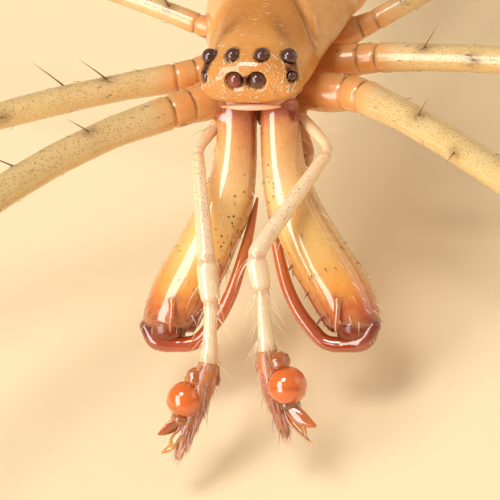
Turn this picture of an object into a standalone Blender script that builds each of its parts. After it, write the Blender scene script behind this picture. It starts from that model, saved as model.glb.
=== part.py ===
# A male long-jawed orbweaver, life size, standing still on the floor.
# It faces -Y, and its right side is at -X. Sizes are in millimetres until place() makes them metres.
import math
import random

import bpy
import numpy as np
from mathutils import Matrix

MM = 0.001
GAP = 0.02  # clear space between pieces that touch in life
FANG_GAP = 0.012
EYE_GAP = 0.01  # an eye's socket is this much wider than the eye

# How the animal stands
BODY_HEIGHT = 1.70  # middle of the carapace above the floor
HEAD_TILT = 8.0  # degrees that the front of the carapace is raised
ABDOMEN_TILT = 3.0  # degrees that the abdomen's rear end hangs
FOOT_LIFT = 0.6  # middle of a foot above the floor, in foot radii
FOOT_RADIUS = 0.20  # a foot's radius, in femur radii

# Carapace: y, half width, top, margin and underside heights
CARAPACE_ROWS = (
    (-0.985, 0.20, 0.18, 0.04, -0.06),
    (-0.955, 0.28, 0.24, 0.05, -0.09),
    (-0.88, 0.32, 0.290, 0.05, -0.10),
    (-0.70, 0.345, 0.325, 0.03, -0.10),
    (-0.45, 0.375, 0.335, 0.00, -0.10),
    (-0.20, 0.435, 0.325, -0.02, -0.10),
    (0.08, 0.490, 0.29, -0.02, -0.10),
    (0.35, 0.465, 0.24, -0.02, -0.10),
    (0.58, 0.330, 0.18, -0.02, -0.09),
    (0.74, 0.160, 0.10, -0.01, -0.06),
)
HEAD_GROOVE_DEPTH = 0.045  # the V between the head and the thorax
HEAD_GROOVE_WIDTH = 0.055
HEAD_GROOVE_SLOPE = 1.55  # how far forward an arm of the V runs for each step sideways
HEAD_GROOVE_REACH = 0.42  # how far sideways the arms go
HEAD_GROOVE_Y = 0.08  # where the arms meet
PIT_DEPTH = 0.045  # the two pits behind the V
PIT_PLACE = (0.06, 0.16)  # sideways and y
PIT_SIZE = (0.05, 0.06)

# Eyes: sideways, forward and height of the centre, then the radius
EYES = {
    "front_middle": (0.071, -0.950, 0.165, 0.056),
    "front_side": (0.276, -0.884, 0.144, 0.036),
    "rear_middle": (0.096, -0.842, 0.276, 0.050),
    "rear_side": (0.262, -0.798, 0.236, 0.054),
}
EYE_RIM = 1.32  # the raised rim round an eye, in eye radii
EYE_SUNK = 0.42  # the rim's middle lies this far behind the eye's, in eye radii
EYE_AIM = (0.45, -0.68, 0.08)  # eyes look away from here: share of their own x, then y and height

# Sternum: y, half width, top and underside heights
STERNUM_ROWS = (
    (-0.50, 0.14, -0.13, -0.29),
    (-0.42, 0.21, -0.12, -0.34),
    (-0.16, 0.26, -0.12, -0.38),
    (0.12, 0.24, -0.12, -0.37),
    (0.36, 0.15, -0.12, -0.32),
    (0.52, 0.06, -0.13, -0.26),
)
# Lower lip: y and half width
LABIUM_ROWS = ((-0.54, 0.095), (-0.59, 0.105), (-0.68, 0.085), (-0.72, 0.05))
LABIUM_HEIGHT = -0.28
LABIUM_SLOPE = 0.35
LABIUM_HALF_DEPTH = 0.045
# Mouth lobes: sideways, y and height, then half width and half depth
ENDITE_ROWS = (
    (0.19, -0.53, -0.26, 0.085, 0.070),
    (0.19, -0.71, -0.37, 0.075, 0.058),
    (0.23, -0.85, -0.50, 0.095, 0.050),
    (0.24, -0.91, -0.56, 0.060, 0.045),
)

# Chelicerae: both lean forward and down from under the face, then part
JAW_SLOPE = 55.0  # degrees below the body's own axis
JAW_ROOT = (-0.86, -0.15)  # y and height where the jaw's own length starts
# Along the jaw, sideways, forward bow, half width, half depth
JAW_ROWS = (
    (-0.06, 0.146, -0.045, 0.120, 0.110),
    (0.10, 0.142, -0.050, 0.127, 0.130),
    (0.38, 0.165, -0.055, 0.143, 0.145),
    (0.57, 0.210, -0.050, 0.166, 0.160),
    (0.76, 0.293, -0.050, 0.180, 0.174),
    (0.95, 0.390, -0.058, 0.197, 0.185),
    (1.13, 0.502, -0.075, 0.198, 0.182),
    (1.28, 0.577, -0.080, 0.190, 0.170),
    (1.38, 0.618, -0.070, 0.170, 0.152),
    (1.425, 0.620, -0.055, 0.120, 0.110),
)
# Fang: along the jaw, sideways, forward, radius
FANG_ROWS = (
    (1.389, 0.752, -0.030, 0.046),
    (1.480, 0.688, -0.035, 0.057),
    (1.507, 0.543, -0.045, 0.053),
    (1.487, 0.422, -0.050, 0.049),
    (1.402, 0.336, -0.050, 0.047),
    (1.305, 0.260, -0.050, 0.045),
    (1.187, 0.198, -0.050, 0.043),
    (1.054, 0.150, -0.060, 0.040),
    (0.858, 0.098, -0.095, 0.034),
    (0.696, 0.064, -0.125, 0.024),
    (0.574, 0.036, -0.135, 0.009),
)
# Teeth of the jaw's front and rear edges: along the jaw, then length
FRONT_TEETH = ((0.86, 0.045), (0.97, 0.085), (1.06, 0.045), (1.14, 0.080), (1.30, 0.115))
REAR_TEETH = ((0.80, 0.035), (0.90, 0.045), (1.00, 0.040), (1.11, 0.050), (1.22, 0.055))
TOOTH_SPREAD = 38.0  # degrees between a tooth row and the jaw's inner side
TOOTH_LEAN = 0.85  # how far teeth lean towards the jaw's tip, in their own lengths
TOOTH_RADIUS = (0.011, 0.16)  # a root's least radius, and what each length adds
ROOT_DEPTH = 0.12  # how deep teeth and spurs are sunk, in half widths of the jaw
SPUR_AT = 1.22  # the clasping spur on the front of the jaw
SPUR_LENGTH = 0.22
SPUR_RADIUS = 0.036
SPUR_WAY = (0.86, 0.48)  # along the jaw and forward

# Palps: points of the joints in the body's frame, as sideways, y, height
PALP_JOINTS = {
    "right": (
        (-0.265, -0.775, -0.27), (-0.376, -1.066, -0.307), (-0.244, -1.713, -0.683),
        (-0.203, -1.924, -0.908), (-0.223, -2.132, -1.224), (-0.430, -2.486, -1.703),
    ),
    "left": (
        (0.265, -0.775, -0.27), (0.484, -1.008, -0.351), (0.092, -1.740, -0.638),
        (0.138, -1.887, -0.832), (0.162, -2.090, -1.160), (0.261, -2.340, -1.640),
    ),
}
PALP_RADII = {"trochanter": 0.040, "femur": 0.055, "patella": 0.062, "tibia": 0.070}
CYMBIUM_RADIUS = 0.086
BULB_RADIUS = 0.118
BULB_OFFSET = {"right": 0.075, "left": 0.105}  # sideways from the middle of the cymbium
BULB_AT = 0.42  # the bulb's middle, as a share of the cymbium's length
LOBE_RADII = (0.065, 0.065, 0.055)  # the lobe at the bulb's root
LOBE_BACK = 0.12
EMBOLUS_RADII = (0.042, 0.010)  # root and tip of the twisted tip
EMBOLUS_LENGTH = 0.27
EMBOLUS_START = 0.06
EMBOLUS_SWING = 200.0  # degrees round
EMBOLUS_COIL = 0.05  # how wide it swings at its root

# Abdomen: share of the length, half width, top and underside from its axis
ABDOMEN_LENGTH = 3.60
ABDOMEN_START = 0.92
ABDOMEN_ARCH = 0.02
ABDOMEN_ROWS = (
    (0.000, 0.16, 0.20, 0.14),
    (0.030, 0.30, 0.36, 0.24),
    (0.100, 0.42, 0.47, 0.33),
    (0.260, 0.49, 0.49, 0.40),
    (0.500, 0.45, 0.43, 0.38),
    (0.740, 0.35, 0.35, 0.31),
    (0.900, 0.24, 0.26, 0.22),
    (0.970, 0.17, 0.20, 0.13),
    (1.000, 0.10, 0.14, 0.05),
)
# The stalk that joins the abdomen: y where it starts, its height, radii at both ends and its middle
PEDICEL_START = 0.70
PEDICEL_HEIGHT = 0.02
PEDICEL_RADII = (0.070, 0.058, 0.058, 0.070)
# Spinnerets: sideways, lift and length of the three on a side, then their common base
SPINNERET_CONES = ((0.052, -0.035, 0.17), (0.030, 0.030, 0.13), (0.060, 0.028, 0.18))
SPINNERET_RADIUS = 0.030
SPINNERET_ROOT = (0.955, -0.13)  # share of the abdomen's length, then height
SPINNERET_WAY = (0.0, 0.75, -0.65)
# Along the base, half width, half height
SPINNERET_BASE = ((-0.02, 0.11, 0.09), (0.02, 0.11, 0.09), (0.07, 0.09, 0.075))

# Legs: lengths of coxa, trochanter, femur, patella, tibia, metatarsus, tarsus, femur radius
LEG_SIZES = {
    1: (0.33, 0.14, 4.27, 0.70, 4.20, 4.30, 1.00, 0.106),
    2: (0.31, 0.13, 2.95, 0.60, 2.40, 2.60, 0.80, 0.092),
    3: (0.27, 0.11, 1.50, 0.38, 0.98, 1.00, 0.50, 0.066),
    4: (0.34, 0.12, 2.80, 0.45, 2.10, 2.20, 0.60, 0.078),
}
COXA_RADII = {1: 0.126, 2: 0.116, 3: 0.098, 4: 0.112}
HIPS = {1: (0.235, -0.53), 2: (0.255, -0.24), 3: (0.235, 0.02), 4: (0.180, 0.26)}  # x and y
HIP_HEIGHT = -0.245
COXA_RISE = 8.0
FEMUR_STEPS = 10
LOWER_BENDS = (14.0, 0.0, -7.0, 6.0)  # patella, tibia, metatarsus and tarsus against the leg's slope
# Degrees forward of sideways for the coxa; the femur's heading, rise, drop and sweep along it;
# and the turn forward beyond the knee
LEG_POSES = {
    ("right", 1): (42.0, 35.0, 6.0, 11.0, 26.0, 4.0),
    ("left", 1): (14.0, 38.0, 5.0, 8.0, 6.0, 14.0),
    ("right", 2): (32.0, 22.0, 6.0, 5.0, 8.0, 8.0),
    ("left", 2): (0.0, 10.0, 9.0, 5.0, 5.0, 8.0),
    ("right", 3): (-16.0, -16.0, 16.0, 6.0, 0.0, 0.0),
    ("left", 3): (-20.0, -30.0, 16.0, 6.0, 0.0, 0.0),
    ("right", 4): (-48.0, -60.0, 22.0, 6.0, -2.0, -8.0),
    ("left", 4): (-50.0, -64.0, 22.0, 6.0, -2.0, -8.0),
}
# Spines of each leg piece: share along it, degrees round from its top, length
FEMUR_SPINES = (
    (0.13, 0, 0.30), (0.24, 55, 0.27), (0.40, -50, 0.26), (0.60, 10, 0.24), (0.80, 60, 0.22),
)
TIBIA_SPINES = ((0.08, 0, 0.30), (0.35, 50, 0.34), (0.52, -50, 0.32), (0.74, 10, 0.28))
METATARSUS_SPINES = ((0.10, 0, 0.28), (0.14, 60, 0.24))
SPINE_RADIUS = 0.017
SPINE_LEAN = 0.75
# Thickness of the lower leg pieces along each, in femur radii
SHIN_PROFILE = (0.63, 0.72, 0.74, 0.64, 0.56, 0.60, 0.56, 0.53, 0.50, 0.47, 0.42)
TAIL_PROFILE = (0.42, 0.43, 0.39, 0.36, 0.34, 0.32, 0.29, 0.26, 0.24, 0.22, FOOT_RADIUS, 0.14)
# Thickness of the hip piece: the coxa in its own radii, then the trochanter in femur radii
COXA_PROFILE = (0.95, 1.0, 1.0, 0.88)
TROCHANTER_PROFILE = (1.06, 1.10, 0.88)
# Thickness of the femur, in its own radii, at shares of its length
FEMUR_SHARES = (0.0, 0.12, 0.30, 0.92, 1.0)
FEMUR_PROFILE = (0.88, 0.95, 1.0, 0.74, 0.63)
# Thickness of the palp's pieces, each in the radii of the joint piece it belongs to
PALP_PROFILES = {
    "trochanter": (0.9, 1.0, 0.85),
    "femur": (0.75, 0.95, 1.05, 1.0, 0.85),
    "patella": (0.83, 0.95, 1.0, 0.85),
    "tibia": (0.75, 1.0, 1.12, 1.0),
    "cymbium": (0.80, 0.95, 1.0, 0.85, 0.6, 0.3),
}
PALP_UP = (0.0, 0.35, 1.0)

SIDES = {"right": -1.0, "left": 1.0}
COLOURS = {
    "carapace": ((0.66, 0.33, 0.10), 0.35),
    "sternum": ((0.52, 0.30, 0.13), 0.45),
    "jaw": ((0.80, 0.42, 0.12), 0.22),
    "fang": ((0.30, 0.07, 0.02), 0.15),
    "eye": ((0.03, 0.008, 0.010), 0.05),
    "leg": ((0.72, 0.50, 0.22), 0.32),
    "coxa": ((0.76, 0.42, 0.20), 0.32),
    "palp": ((0.82, 0.68, 0.42), 0.35),
    "cymbium": ((0.42, 0.18, 0.07), 0.50),
    "bulb": ((0.75, 0.27, 0.05), 0.15),
    "abdomen": ((0.62, 0.60, 0.50), 0.28),
    "spinneret": ((0.35, 0.20, 0.10), 0.50),
}


def turned(degrees, axis):
    return np.array(Matrix.Rotation(math.radians(degrees), 3, axis))


HEAD_FRAME = (turned(-HEAD_TILT, "X"), np.array((0.0, 0.0, BODY_HEIGHT)))
FLOOR_FRAME = (np.eye(3), np.zeros(3))
PEDICEL_END = HEAD_FRAME[0] @ np.array((0.0, ABDOMEN_START - 0.04, 0.02)) + HEAD_FRAME[1]
ABDOMEN_FRAME = (turned(-ABDOMEN_TILT, "X"), PEDICEL_END)


def put(points, frame):
    turn, shift = frame
    return np.asarray(points, float) @ turn.T + shift


def unit(vectors):
    vectors = np.asarray(vectors, float)
    return vectors / np.linalg.norm(vectors, axis=-1, keepdims=True)


def smooth(rows, count):
    # A Catmull-Rom curve through the rows, at count even steps
    rows = np.asarray(rows, float)
    padded = np.vstack((2 * rows[0] - rows[1], rows, 2 * rows[-1] - rows[-2]))
    steps = np.linspace(0, len(rows) - 1, count)
    first = np.minimum(steps.astype(int), len(rows) - 2)
    t = (steps - first)[:, None]
    a, b, c, d = (padded[first + k] for k in range(4))
    square, cube = 2 * a - 5 * b + 4 * c - d, 3 * b - a - 3 * c + d
    return 0.5 * (2 * b + (c - a) * t + square * t**2 + cube * t**3)


def ring(centre, side, top, half_width, above, below, sides, squareness=1.0):
    # One closed ring; squareness below 1 fills its corners
    angles = np.arange(sides) * 2 * math.pi / sides
    across = np.sign(np.cos(angles)) * np.abs(np.cos(angles)) ** squareness
    upward = np.sign(np.sin(angles)) * np.abs(np.sin(angles)) ** squareness
    height = np.where(upward > 0, above, below)
    return centre + np.outer(across * half_width, side) + np.outer(upward * height, top)


def shell(name, rings, frame, ends=("flat", "flat")):
    # A closed mesh over the rings, each end one flat face or a point a little beyond the ring
    verts = [tuple(p) for r in rings for p in r]
    sides = len(rings[0])
    faces = []
    for row in range(len(rings) - 1):
        for k in range(sides):
            a, b = row * sides + k, row * sides + (k + 1) % sides
            faces.append((a, b, b + sides, a + sides))
    for end, (kind, last, inner) in enumerate(((ends[0], 0, 1), (ends[1], -1, -2))):
        start = 0 if end == 0 else (len(rings) - 1) * sides
        loop = [start + k for k in range(sides)]
        if end == 0:
            loop.reverse()
        if kind == "flat":
            faces.append(tuple(loop))
            continue
        middle, before = np.mean(rings[last], axis=0), np.mean(rings[inner], axis=0)
        verts.append(tuple(middle + kind * (middle - before)))
        faces.extend((loop[k], loop[(k + 1) % sides], len(verts) - 1) for k in range(sides))
    mesh = bpy.data.meshes.new(name)
    mesh.from_pydata([tuple(p) for p in put(verts, frame)], [], faces)
    face_outwards(mesh)
    thing = bpy.data.objects.new(name, mesh)
    bpy.context.scene.collection.objects.link(thing)
    return thing


def volume(mesh):
    mesh.calc_loop_triangles()
    points = np.array([v.co for v in mesh.vertices])
    corners = points[np.array([t.vertices for t in mesh.loop_triangles])]
    return np.einsum("ij,ij->i", corners[:, 0], np.cross(corners[:, 1], corners[:, 2])).sum() / 6


def face_outwards(mesh):
    if volume(mesh) < 0:
        mesh.flip_normals()


def tube(name, path, half_width, half_height, sides, up, frame, ends=("flat", "flat"), faces=(None, None)):
    # faces are the ways that the two end faces look along, where they aren't square to the path
    path = np.asarray(path, float)
    along = unit(np.gradient(path, axis=0))
    for row, way in zip((0, -1), faces):
        if way is not None:
            along[row] = unit(way)
    side = unit(np.cross(along, up))
    top = np.cross(side, along)
    rings = [
        ring(path[k], side[k], top[k], half_width[k], half_height[k], half_height[k], sides)
        for k in range(len(path))
    ]
    return shell(name, rings, frame, ends)


def ball(name, centre, radii, frame, columns=12, rows=7):
    # An ellipsoid with its poles up and down
    radii = np.asarray(radii, float)
    rings = []
    for row in range(1, rows):
        lift = math.pi * row / rows
        turn = np.arange(columns) * 2 * math.pi / columns
        flat = np.stack((np.cos(turn) * math.sin(lift), np.sin(turn) * math.sin(lift)), axis=1)
        rings.append(centre + np.column_stack((flat, np.full(columns, -math.cos(lift)))) * radii)
    reach = (1 - math.cos(math.pi / rows)) / (math.cos(math.pi / rows) - math.cos(2 * math.pi / rows))
    return shell(name, rings, frame, (reach, reach))


def between(start, finish, shares):
    return [start + (finish - start) * share for share in shares]


def spike(base, direction, length, radius, frame, sides=4):
    # A tapered spine whose root is sunk in
    direction = unit(direction)
    up = np.array((0.0, 0.0, 1.0)) if abs(direction[2]) < 0.8 else np.array((0.0, 1.0, 0.0))
    points = between(base, base + direction * length, (0, 0.5))
    reach = [radius, radius * 0.6]
    return tube("spike", points, reach, reach, sides, up, frame, ("flat", 0.9))


def keep_largest(thing):
    # Keep the closed surface with the most volume, and drop every other one
    mesh = thing.data
    owner = list(range(len(mesh.vertices)))

    def root(v):
        while owner[v] != v:
            owner[v] = owner[owner[v]]
            v = owner[v]
        return v

    for edge in mesh.edges:
        owner[root(edge.vertices[0])] = root(edge.vertices[1])
    groups = {}
    for face in mesh.polygons:
        groups.setdefault(root(face.vertices[0]), []).append(face)
    meshes = []
    for faces in groups.values():
        used = sorted({v for face in faces for v in face.vertices})
        place = {v: k for k, v in enumerate(used)}
        part = bpy.data.meshes.new(thing.name)
        part.from_pydata(
            [mesh.vertices[v].co[:] for v in used], [], [[place[v] for v in f.vertices] for f in faces]
        )
        meshes.append(part)
    thing.data = max(meshes, key=volume)


def combine(thing, others, operation):
    # One exact Boolean of the thing with a collection of closed meshes, applied
    if not others:
        return thing
    group = bpy.data.collections.new("operands")
    bpy.context.scene.collection.children.link(group)
    for other in others:
        bpy.context.scene.collection.objects.unlink(other)
        group.objects.link(other)
    step = thing.modifiers.new(operation, "BOOLEAN")
    step.operation = operation
    step.operand_type = "COLLECTION"
    step.collection = group
    step.solver = "EXACT"
    bpy.context.view_layer.update()
    result = bpy.data.meshes.new_from_object(thing.evaluated_get(bpy.context.evaluated_depsgraph_get()))
    thing.modifiers.clear()
    thing.data = result
    for other in others:
        bpy.data.objects.remove(other)
    bpy.data.collections.remove(group)
    keep_largest(thing)
    return thing


def fuse(thing, pieces):
    return combine(thing, pieces, "UNION")


def grown(thing, gap):
    # A copy whose surface lies the gap further out, to cut its neighbours with
    mesh = thing.data.copy()
    normals = [v.normal.copy() for v in mesh.vertices]
    for vertex, normal in zip(mesh.vertices, normals):
        vertex.co += normal * gap
    copy = bpy.data.objects.new(thing.name + "_grown", mesh)
    bpy.context.scene.collection.objects.link(copy)
    return copy


def trim(thing, neighbours, gap=GAP):
    return combine(thing, [grown(n, gap) for n in neighbours], "DIFFERENCE")


def groove_depth(x, y):
    # The V of the head and the two pits behind it
    arm_y = HEAD_GROOVE_Y - abs(x) * HEAD_GROOVE_SLOPE
    off_arm = abs(y - arm_y) / math.hypot(1, HEAD_GROOVE_SLOPE) / HEAD_GROOVE_WIDTH
    arm = HEAD_GROOVE_DEPTH * math.exp(-(off_arm**2)) * (abs(x) < HEAD_GROOVE_REACH)
    off_pit = ((abs(x) - PIT_PLACE[0]) / PIT_SIZE[0]) ** 2 + ((y - PIT_PLACE[1]) / PIT_SIZE[1]) ** 2
    return max(arm, PIT_DEPTH * math.exp(-off_pit))


def make_carapace():
    rings = []
    for y, half_width, top, margin, below in smooth(CARAPACE_ROWS, 25):
        middle = (0, y, margin)
        points = ring(middle, (1, 0, 0), (0, 0, 1), half_width, top - margin, margin - below, 24, 0.9)
        for point in points:
            if point[2] > margin:
                point[2] -= groove_depth(point[0], point[1])
        rings.append(points)
    carapace = shell("carapace", rings, HEAD_FRAME, (0.3, 0.3))
    rims, sockets, eyes = [], [], []
    for name, (x, y, z, radius) in EYES.items():
        for side, sign in SIDES.items():
            centre = np.array((sign * x, y, z))
            outward = unit(centre - np.array((sign * x * EYE_AIM[0], *EYE_AIM[1:])))
            behind = centre - outward * radius * EYE_SUNK
            rims.append(ball("rim", behind, [radius * EYE_RIM] * 3, HEAD_FRAME))
            sockets.append(ball("socket", centre, [radius + EYE_GAP] * 3, HEAD_FRAME))
            eyes.append(ball(f"eye_{name}_{side}", centre, [radius] * 3, HEAD_FRAME))
    fuse(carapace, rims)
    combine(carapace, sockets, "DIFFERENCE")
    return carapace, eyes


def make_sternum():
    rings = []
    for y, half_width, top, below in smooth(STERNUM_ROWS, 11):
        half_depth = (top - below) / 2
        middle = (0, y, (top + below) / 2)
        rings.append(ring(middle, (1, 0, 0), (0, 0, 1), half_width, half_depth, half_depth, 16, 0.7))
    return shell("sternum", rings, HEAD_FRAME, (0.3, 0.3))


def jaw_axes():
    slope = math.radians(JAW_SLOPE)
    along = np.array((0.0, -math.cos(slope), -math.sin(slope)))
    forward = np.array((0.0, -math.sin(slope), math.cos(slope)))
    return along, forward


def jaw_point(along_jaw, sideways, bow, sign):
    along, forward = jaw_axes()
    root = np.array((0.0, *JAW_ROOT))
    return root + along * along_jaw + forward * bow + np.array((sign * sideways, 0.0, 0.0))


def jaw_row(at):
    # The jaw's sizes at a distance along it
    rows = np.array(JAW_ROWS)
    return [float(np.interp(at, rows[:, 0], rows[:, k])) for k in range(1, 5)]


def jaw_skin(at, inwards, forwards, sign):
    # A point a little under the jaw's skin, that way from the middle of the jaw
    sideways, bow, half_width, half_depth = jaw_row(at)
    sunk = 1 - ROOT_DEPTH
    reach = np.array((-sign, 0.0, 0.0)) * half_width * inwards + jaw_axes()[1] * half_depth * forwards
    return jaw_point(at, sideways, bow, sign) + reach * sunk


def make_jaw(side, sign, carapace, rear):
    along, forward = jaw_axes()
    rows = smooth(JAW_ROWS, 17)
    path = [jaw_point(*row[:3], sign) for row in rows]
    jaw = tube(f"chelicera_{side}", path, rows[:, 3], rows[:, 4], 16, forward, HEAD_FRAME, (0.2, 0.7))
    inward = np.array((-sign, 0.0, 0.0))
    grown_on = []
    for turn, row in ((TOOTH_SPREAD, FRONT_TEETH), (-TOOTH_SPREAD, REAR_TEETH)):
        inwards, forwards = math.cos(math.radians(turn)), math.sin(math.radians(turn))
        for at, length in row:
            out = inward * inwards + forward * forwards + along * TOOTH_LEAN
            root = jaw_skin(at, inwards, forwards, sign)
            radius = TOOTH_RADIUS[0] + length * TOOTH_RADIUS[1]
            grown_on.append(spike(root, out, length + radius, radius, HEAD_FRAME, 5))
    spur_way = along * SPUR_WAY[0] + forward * SPUR_WAY[1]
    grown_on.append(spike(jaw_skin(SPUR_AT, 0, 1, sign), spur_way, SPUR_LENGTH, SPUR_RADIUS, HEAD_FRAME, 7))
    fuse(jaw, grown_on)
    return trim(jaw, [carapace, *rear])


def make_fang(side, sign, jaw):
    forward = jaw_axes()[1]
    rows = smooth(FANG_ROWS, 22)
    path = [jaw_point(*row[:3], sign) for row in rows]
    fang = tube(f"fang_{side}", path, rows[:, 3], rows[:, 3], 8, forward, HEAD_FRAME, (0.4, 0.8))
    return trim(fang, [jaw], FANG_GAP)


def make_mouth_parts(sternum):
    rings = []
    for y, half_width in LABIUM_ROWS:
        middle = (0, y, LABIUM_HEIGHT + LABIUM_SLOPE * (y - LABIUM_ROWS[0][0]))
        depth = LABIUM_HALF_DEPTH
        rings.append(ring(middle, (1, 0, 0), (0, 0, 1), half_width, depth, depth, 12, 0.8))
    labium = shell("labium", rings, HEAD_FRAME)
    endites = {}
    rows = smooth(ENDITE_ROWS, 8)
    for side, sign in SIDES.items():
        path = rows[:, :3] * (sign, 1, 1)
        endite = tube(f"endite_{side}", path, rows[:, 3], rows[:, 4], 12, (0, 0, 1), HEAD_FRAME, (0.2, 0.3))
        endites[side] = trim(endite, [sternum, labium])
    return labium, endites


def bulb_pieces(side, heart, way, out, more):
    # The bulb, the lobe at its root and the twisted tip, each wider by more
    across = np.cross(way, out)
    twist = []
    thick = []
    for t in np.linspace(0, 1, 9):
        swing = math.radians(EMBOLUS_SWING * t)
        reach = EMBOLUS_COIL * (1 - 0.6 * t)
        centre = heart + way * (EMBOLUS_START + EMBOLUS_LENGTH * t) - out * GAP * t
        twist.append(centre + out * reach * math.cos(swing) + across * reach * math.sin(swing))
        thick.append(EMBOLUS_RADII[0] + (EMBOLUS_RADII[1] - EMBOLUS_RADII[0]) * t + more)
    return [
        ball(f"palp_{side}_bulb", heart, [BULB_RADIUS + more] * 3, HEAD_FRAME, 14, 9),
        ball("lobe", heart - way * LOBE_BACK, np.array(LOBE_RADII) + more, HEAD_FRAME, 10, 7),
        tube("twist", twist, thick, thick, 7, PALP_UP, HEAD_FRAME, ("flat", 0.5)),
    ]


def palp_thickness(*parts):
    sizes = {**PALP_RADII, "cymbium": CYMBIUM_RADIUS}
    return np.array([sizes[part] * f for part in parts for f in PALP_PROFILES[part]])


def make_palp(side):
    joints = np.array(PALP_JOINTS[side])
    ways = unit(np.diff(joints, axis=0))
    knee = unit(ways[1] + ways[2])
    wrist = unit(ways[3] + ways[4])
    hip, elbow, bend, cuff, root, tip = joints
    path = between(hip, elbow, (0.0, 0.5, 0.9)) + between(elbow, bend, (0.12, 0.4, 0.7, 0.93))
    path.append(bend - knee * GAP / 2)
    thick = palp_thickness("trochanter", "femur")
    femur = tube(f"palp_{side}_femur", path, thick, thick, 10, PALP_UP, HEAD_FRAME, faces=(None, knee))
    path = [bend + knee * GAP / 2] + between(bend, cuff, (0.25, 0.6, 0.9))
    path += between(cuff, root, (0.15, 0.6, 0.92)) + [root - wrist * GAP / 2]
    thick = palp_thickness("patella", "tibia")
    tibia = tube(f"palp_{side}_tibia", path, thick, thick, 10, PALP_UP, HEAD_FRAME, faces=(knee, wrist))
    path = [root + wrist * GAP / 2] + between(root, tip, (0.12, 0.35, 0.6, 0.82, 0.97))
    thick = palp_thickness("cymbium")
    name = f"palp_{side}_cymbium"
    cymbium = tube(name, path, thick, thick * 0.85, 12, PALP_UP, HEAD_FRAME, ("flat", 0.6), (wrist, None))
    out = np.array((SIDES[side], 0.0, 0.0)) + jaw_axes()[1] * 0.45
    out = unit(out - ways[4] * (out @ ways[4]))
    heart = root + (tip - root) * BULB_AT + out * BULB_OFFSET[side]
    first, *rest = bulb_pieces(side, heart, ways[4], out, 0.0)
    bulb = trim(fuse(first, rest), [tibia])
    combine(cymbium, bulb_pieces(side, heart, ways[4], out, GAP), "DIFFERENCE")
    return femur, tibia, cymbium, bulb


def make_pedicel():
    ends = np.linspace(PEDICEL_START, ABDOMEN_START + 0.04, len(PEDICEL_RADII))
    points = [(0, y, PEDICEL_HEIGHT) for y in ends]
    return tube("pedicel", points, PEDICEL_RADII, PEDICEL_RADII, 10, (0, 0, 1), HEAD_FRAME)


def make_abdomen():
    rings = []
    for share, half_width, above, below in smooth(ABDOMEN_ROWS, 21):
        centre = (0, share * ABDOMEN_LENGTH, ABDOMEN_ARCH * math.sin(math.pi * share))
        rings.append(ring(centre, (1, 0, 0), (0, 0, 1), half_width, above, below, 20, 1.0))
    return shell("abdomen", rings, ABDOMEN_FRAME, (0.3, 0.4))


def make_spinnerets(abdomen):
    root = np.array((0.0, ABDOMEN_LENGTH * SPINNERET_ROOT[0], SPINNERET_ROOT[1]))
    way = unit(SPINNERET_WAY)
    steps, half_width, half_height = np.array(SPINNERET_BASE).T
    path = root + np.outer(steps, way)
    base = tube("spinnerets", path, half_width, half_height, 14, (0, 0, 1), ABDOMEN_FRAME, ("flat", 0.2))
    cones = []
    for sideways, lift, length in SPINNERET_CONES:
        for sign in SIDES.values():
            start = root + way * 0.03 + np.array((sign * sideways, 0, lift))
            lean = way + np.array((sign * sideways * 1.5, 0, lift * 3))
            cones.append(spike(start, lean, length, SPINNERET_RADIUS, ABDOMEN_FRAME, 7))
    fuse(base, cones)
    return trim(base, [abdomen])


def heading(degrees, rise, sign):
    turn, lift = math.radians(degrees), math.radians(rise)
    level = np.array((sign * math.cos(turn), -math.sin(turn), 0.0))
    return level * math.cos(lift) + np.array((0.0, 0.0, math.sin(lift)))


def spines_on(path, thick, places, frame, seed, shares):
    # Spines rooted on a tube's surface, each a little different
    dice = random.Random(seed)
    path = np.asarray(path)
    along = unit(np.gradient(path, axis=0))
    spikes = []
    low, high = shares
    for share, around, length in places:
        at = (low + (high - low) * (share + dice.uniform(-0.02, 0.02))) * (len(path) - 1)
        k = int(at)
        centre = path[k] + (path[min(k + 1, len(path) - 1)] - path[k]) * (at - k)
        side = unit(np.cross(along[k], (0, 0, 1)))
        top = np.cross(side, along[k])
        angle = math.radians(around + dice.uniform(-8, 8))
        out = top * math.cos(angle) + side * math.sin(angle)
        way = out + along[k] * SPINE_LEAN
        reach = length * dice.uniform(0.9, 1.1)
        spikes.append(spike(centre + out * thick[k] * 0.7, way, reach, SPINE_RADIUS, frame))
    return spikes


def foot_joints(knee, turn, slope, lengths, sign):
    # The joints from the knee to the foot's end; the last stretch lies flat
    joints = [knee]
    for length, bend in zip(lengths, LOWER_BENDS):
        joints.append(joints[-1] + heading(turn, slope + bend, sign) * length)
    joints.append(joints[-1] + heading(turn, 0.0, sign) * lengths[-1])
    return joints


def settled_joints(knee, turn, lengths, sign, height):
    # Halve the range of slopes until the foot's end is at the height
    low, high = -80.0, 20.0
    for _ in range(50):
        slope = (low + high) / 2
        if foot_joints(knee, turn, slope, lengths, sign)[-1][2] > height:
            high = slope
        else:
            low = slope
    return foot_joints(knee, turn, slope, lengths, sign)


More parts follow.
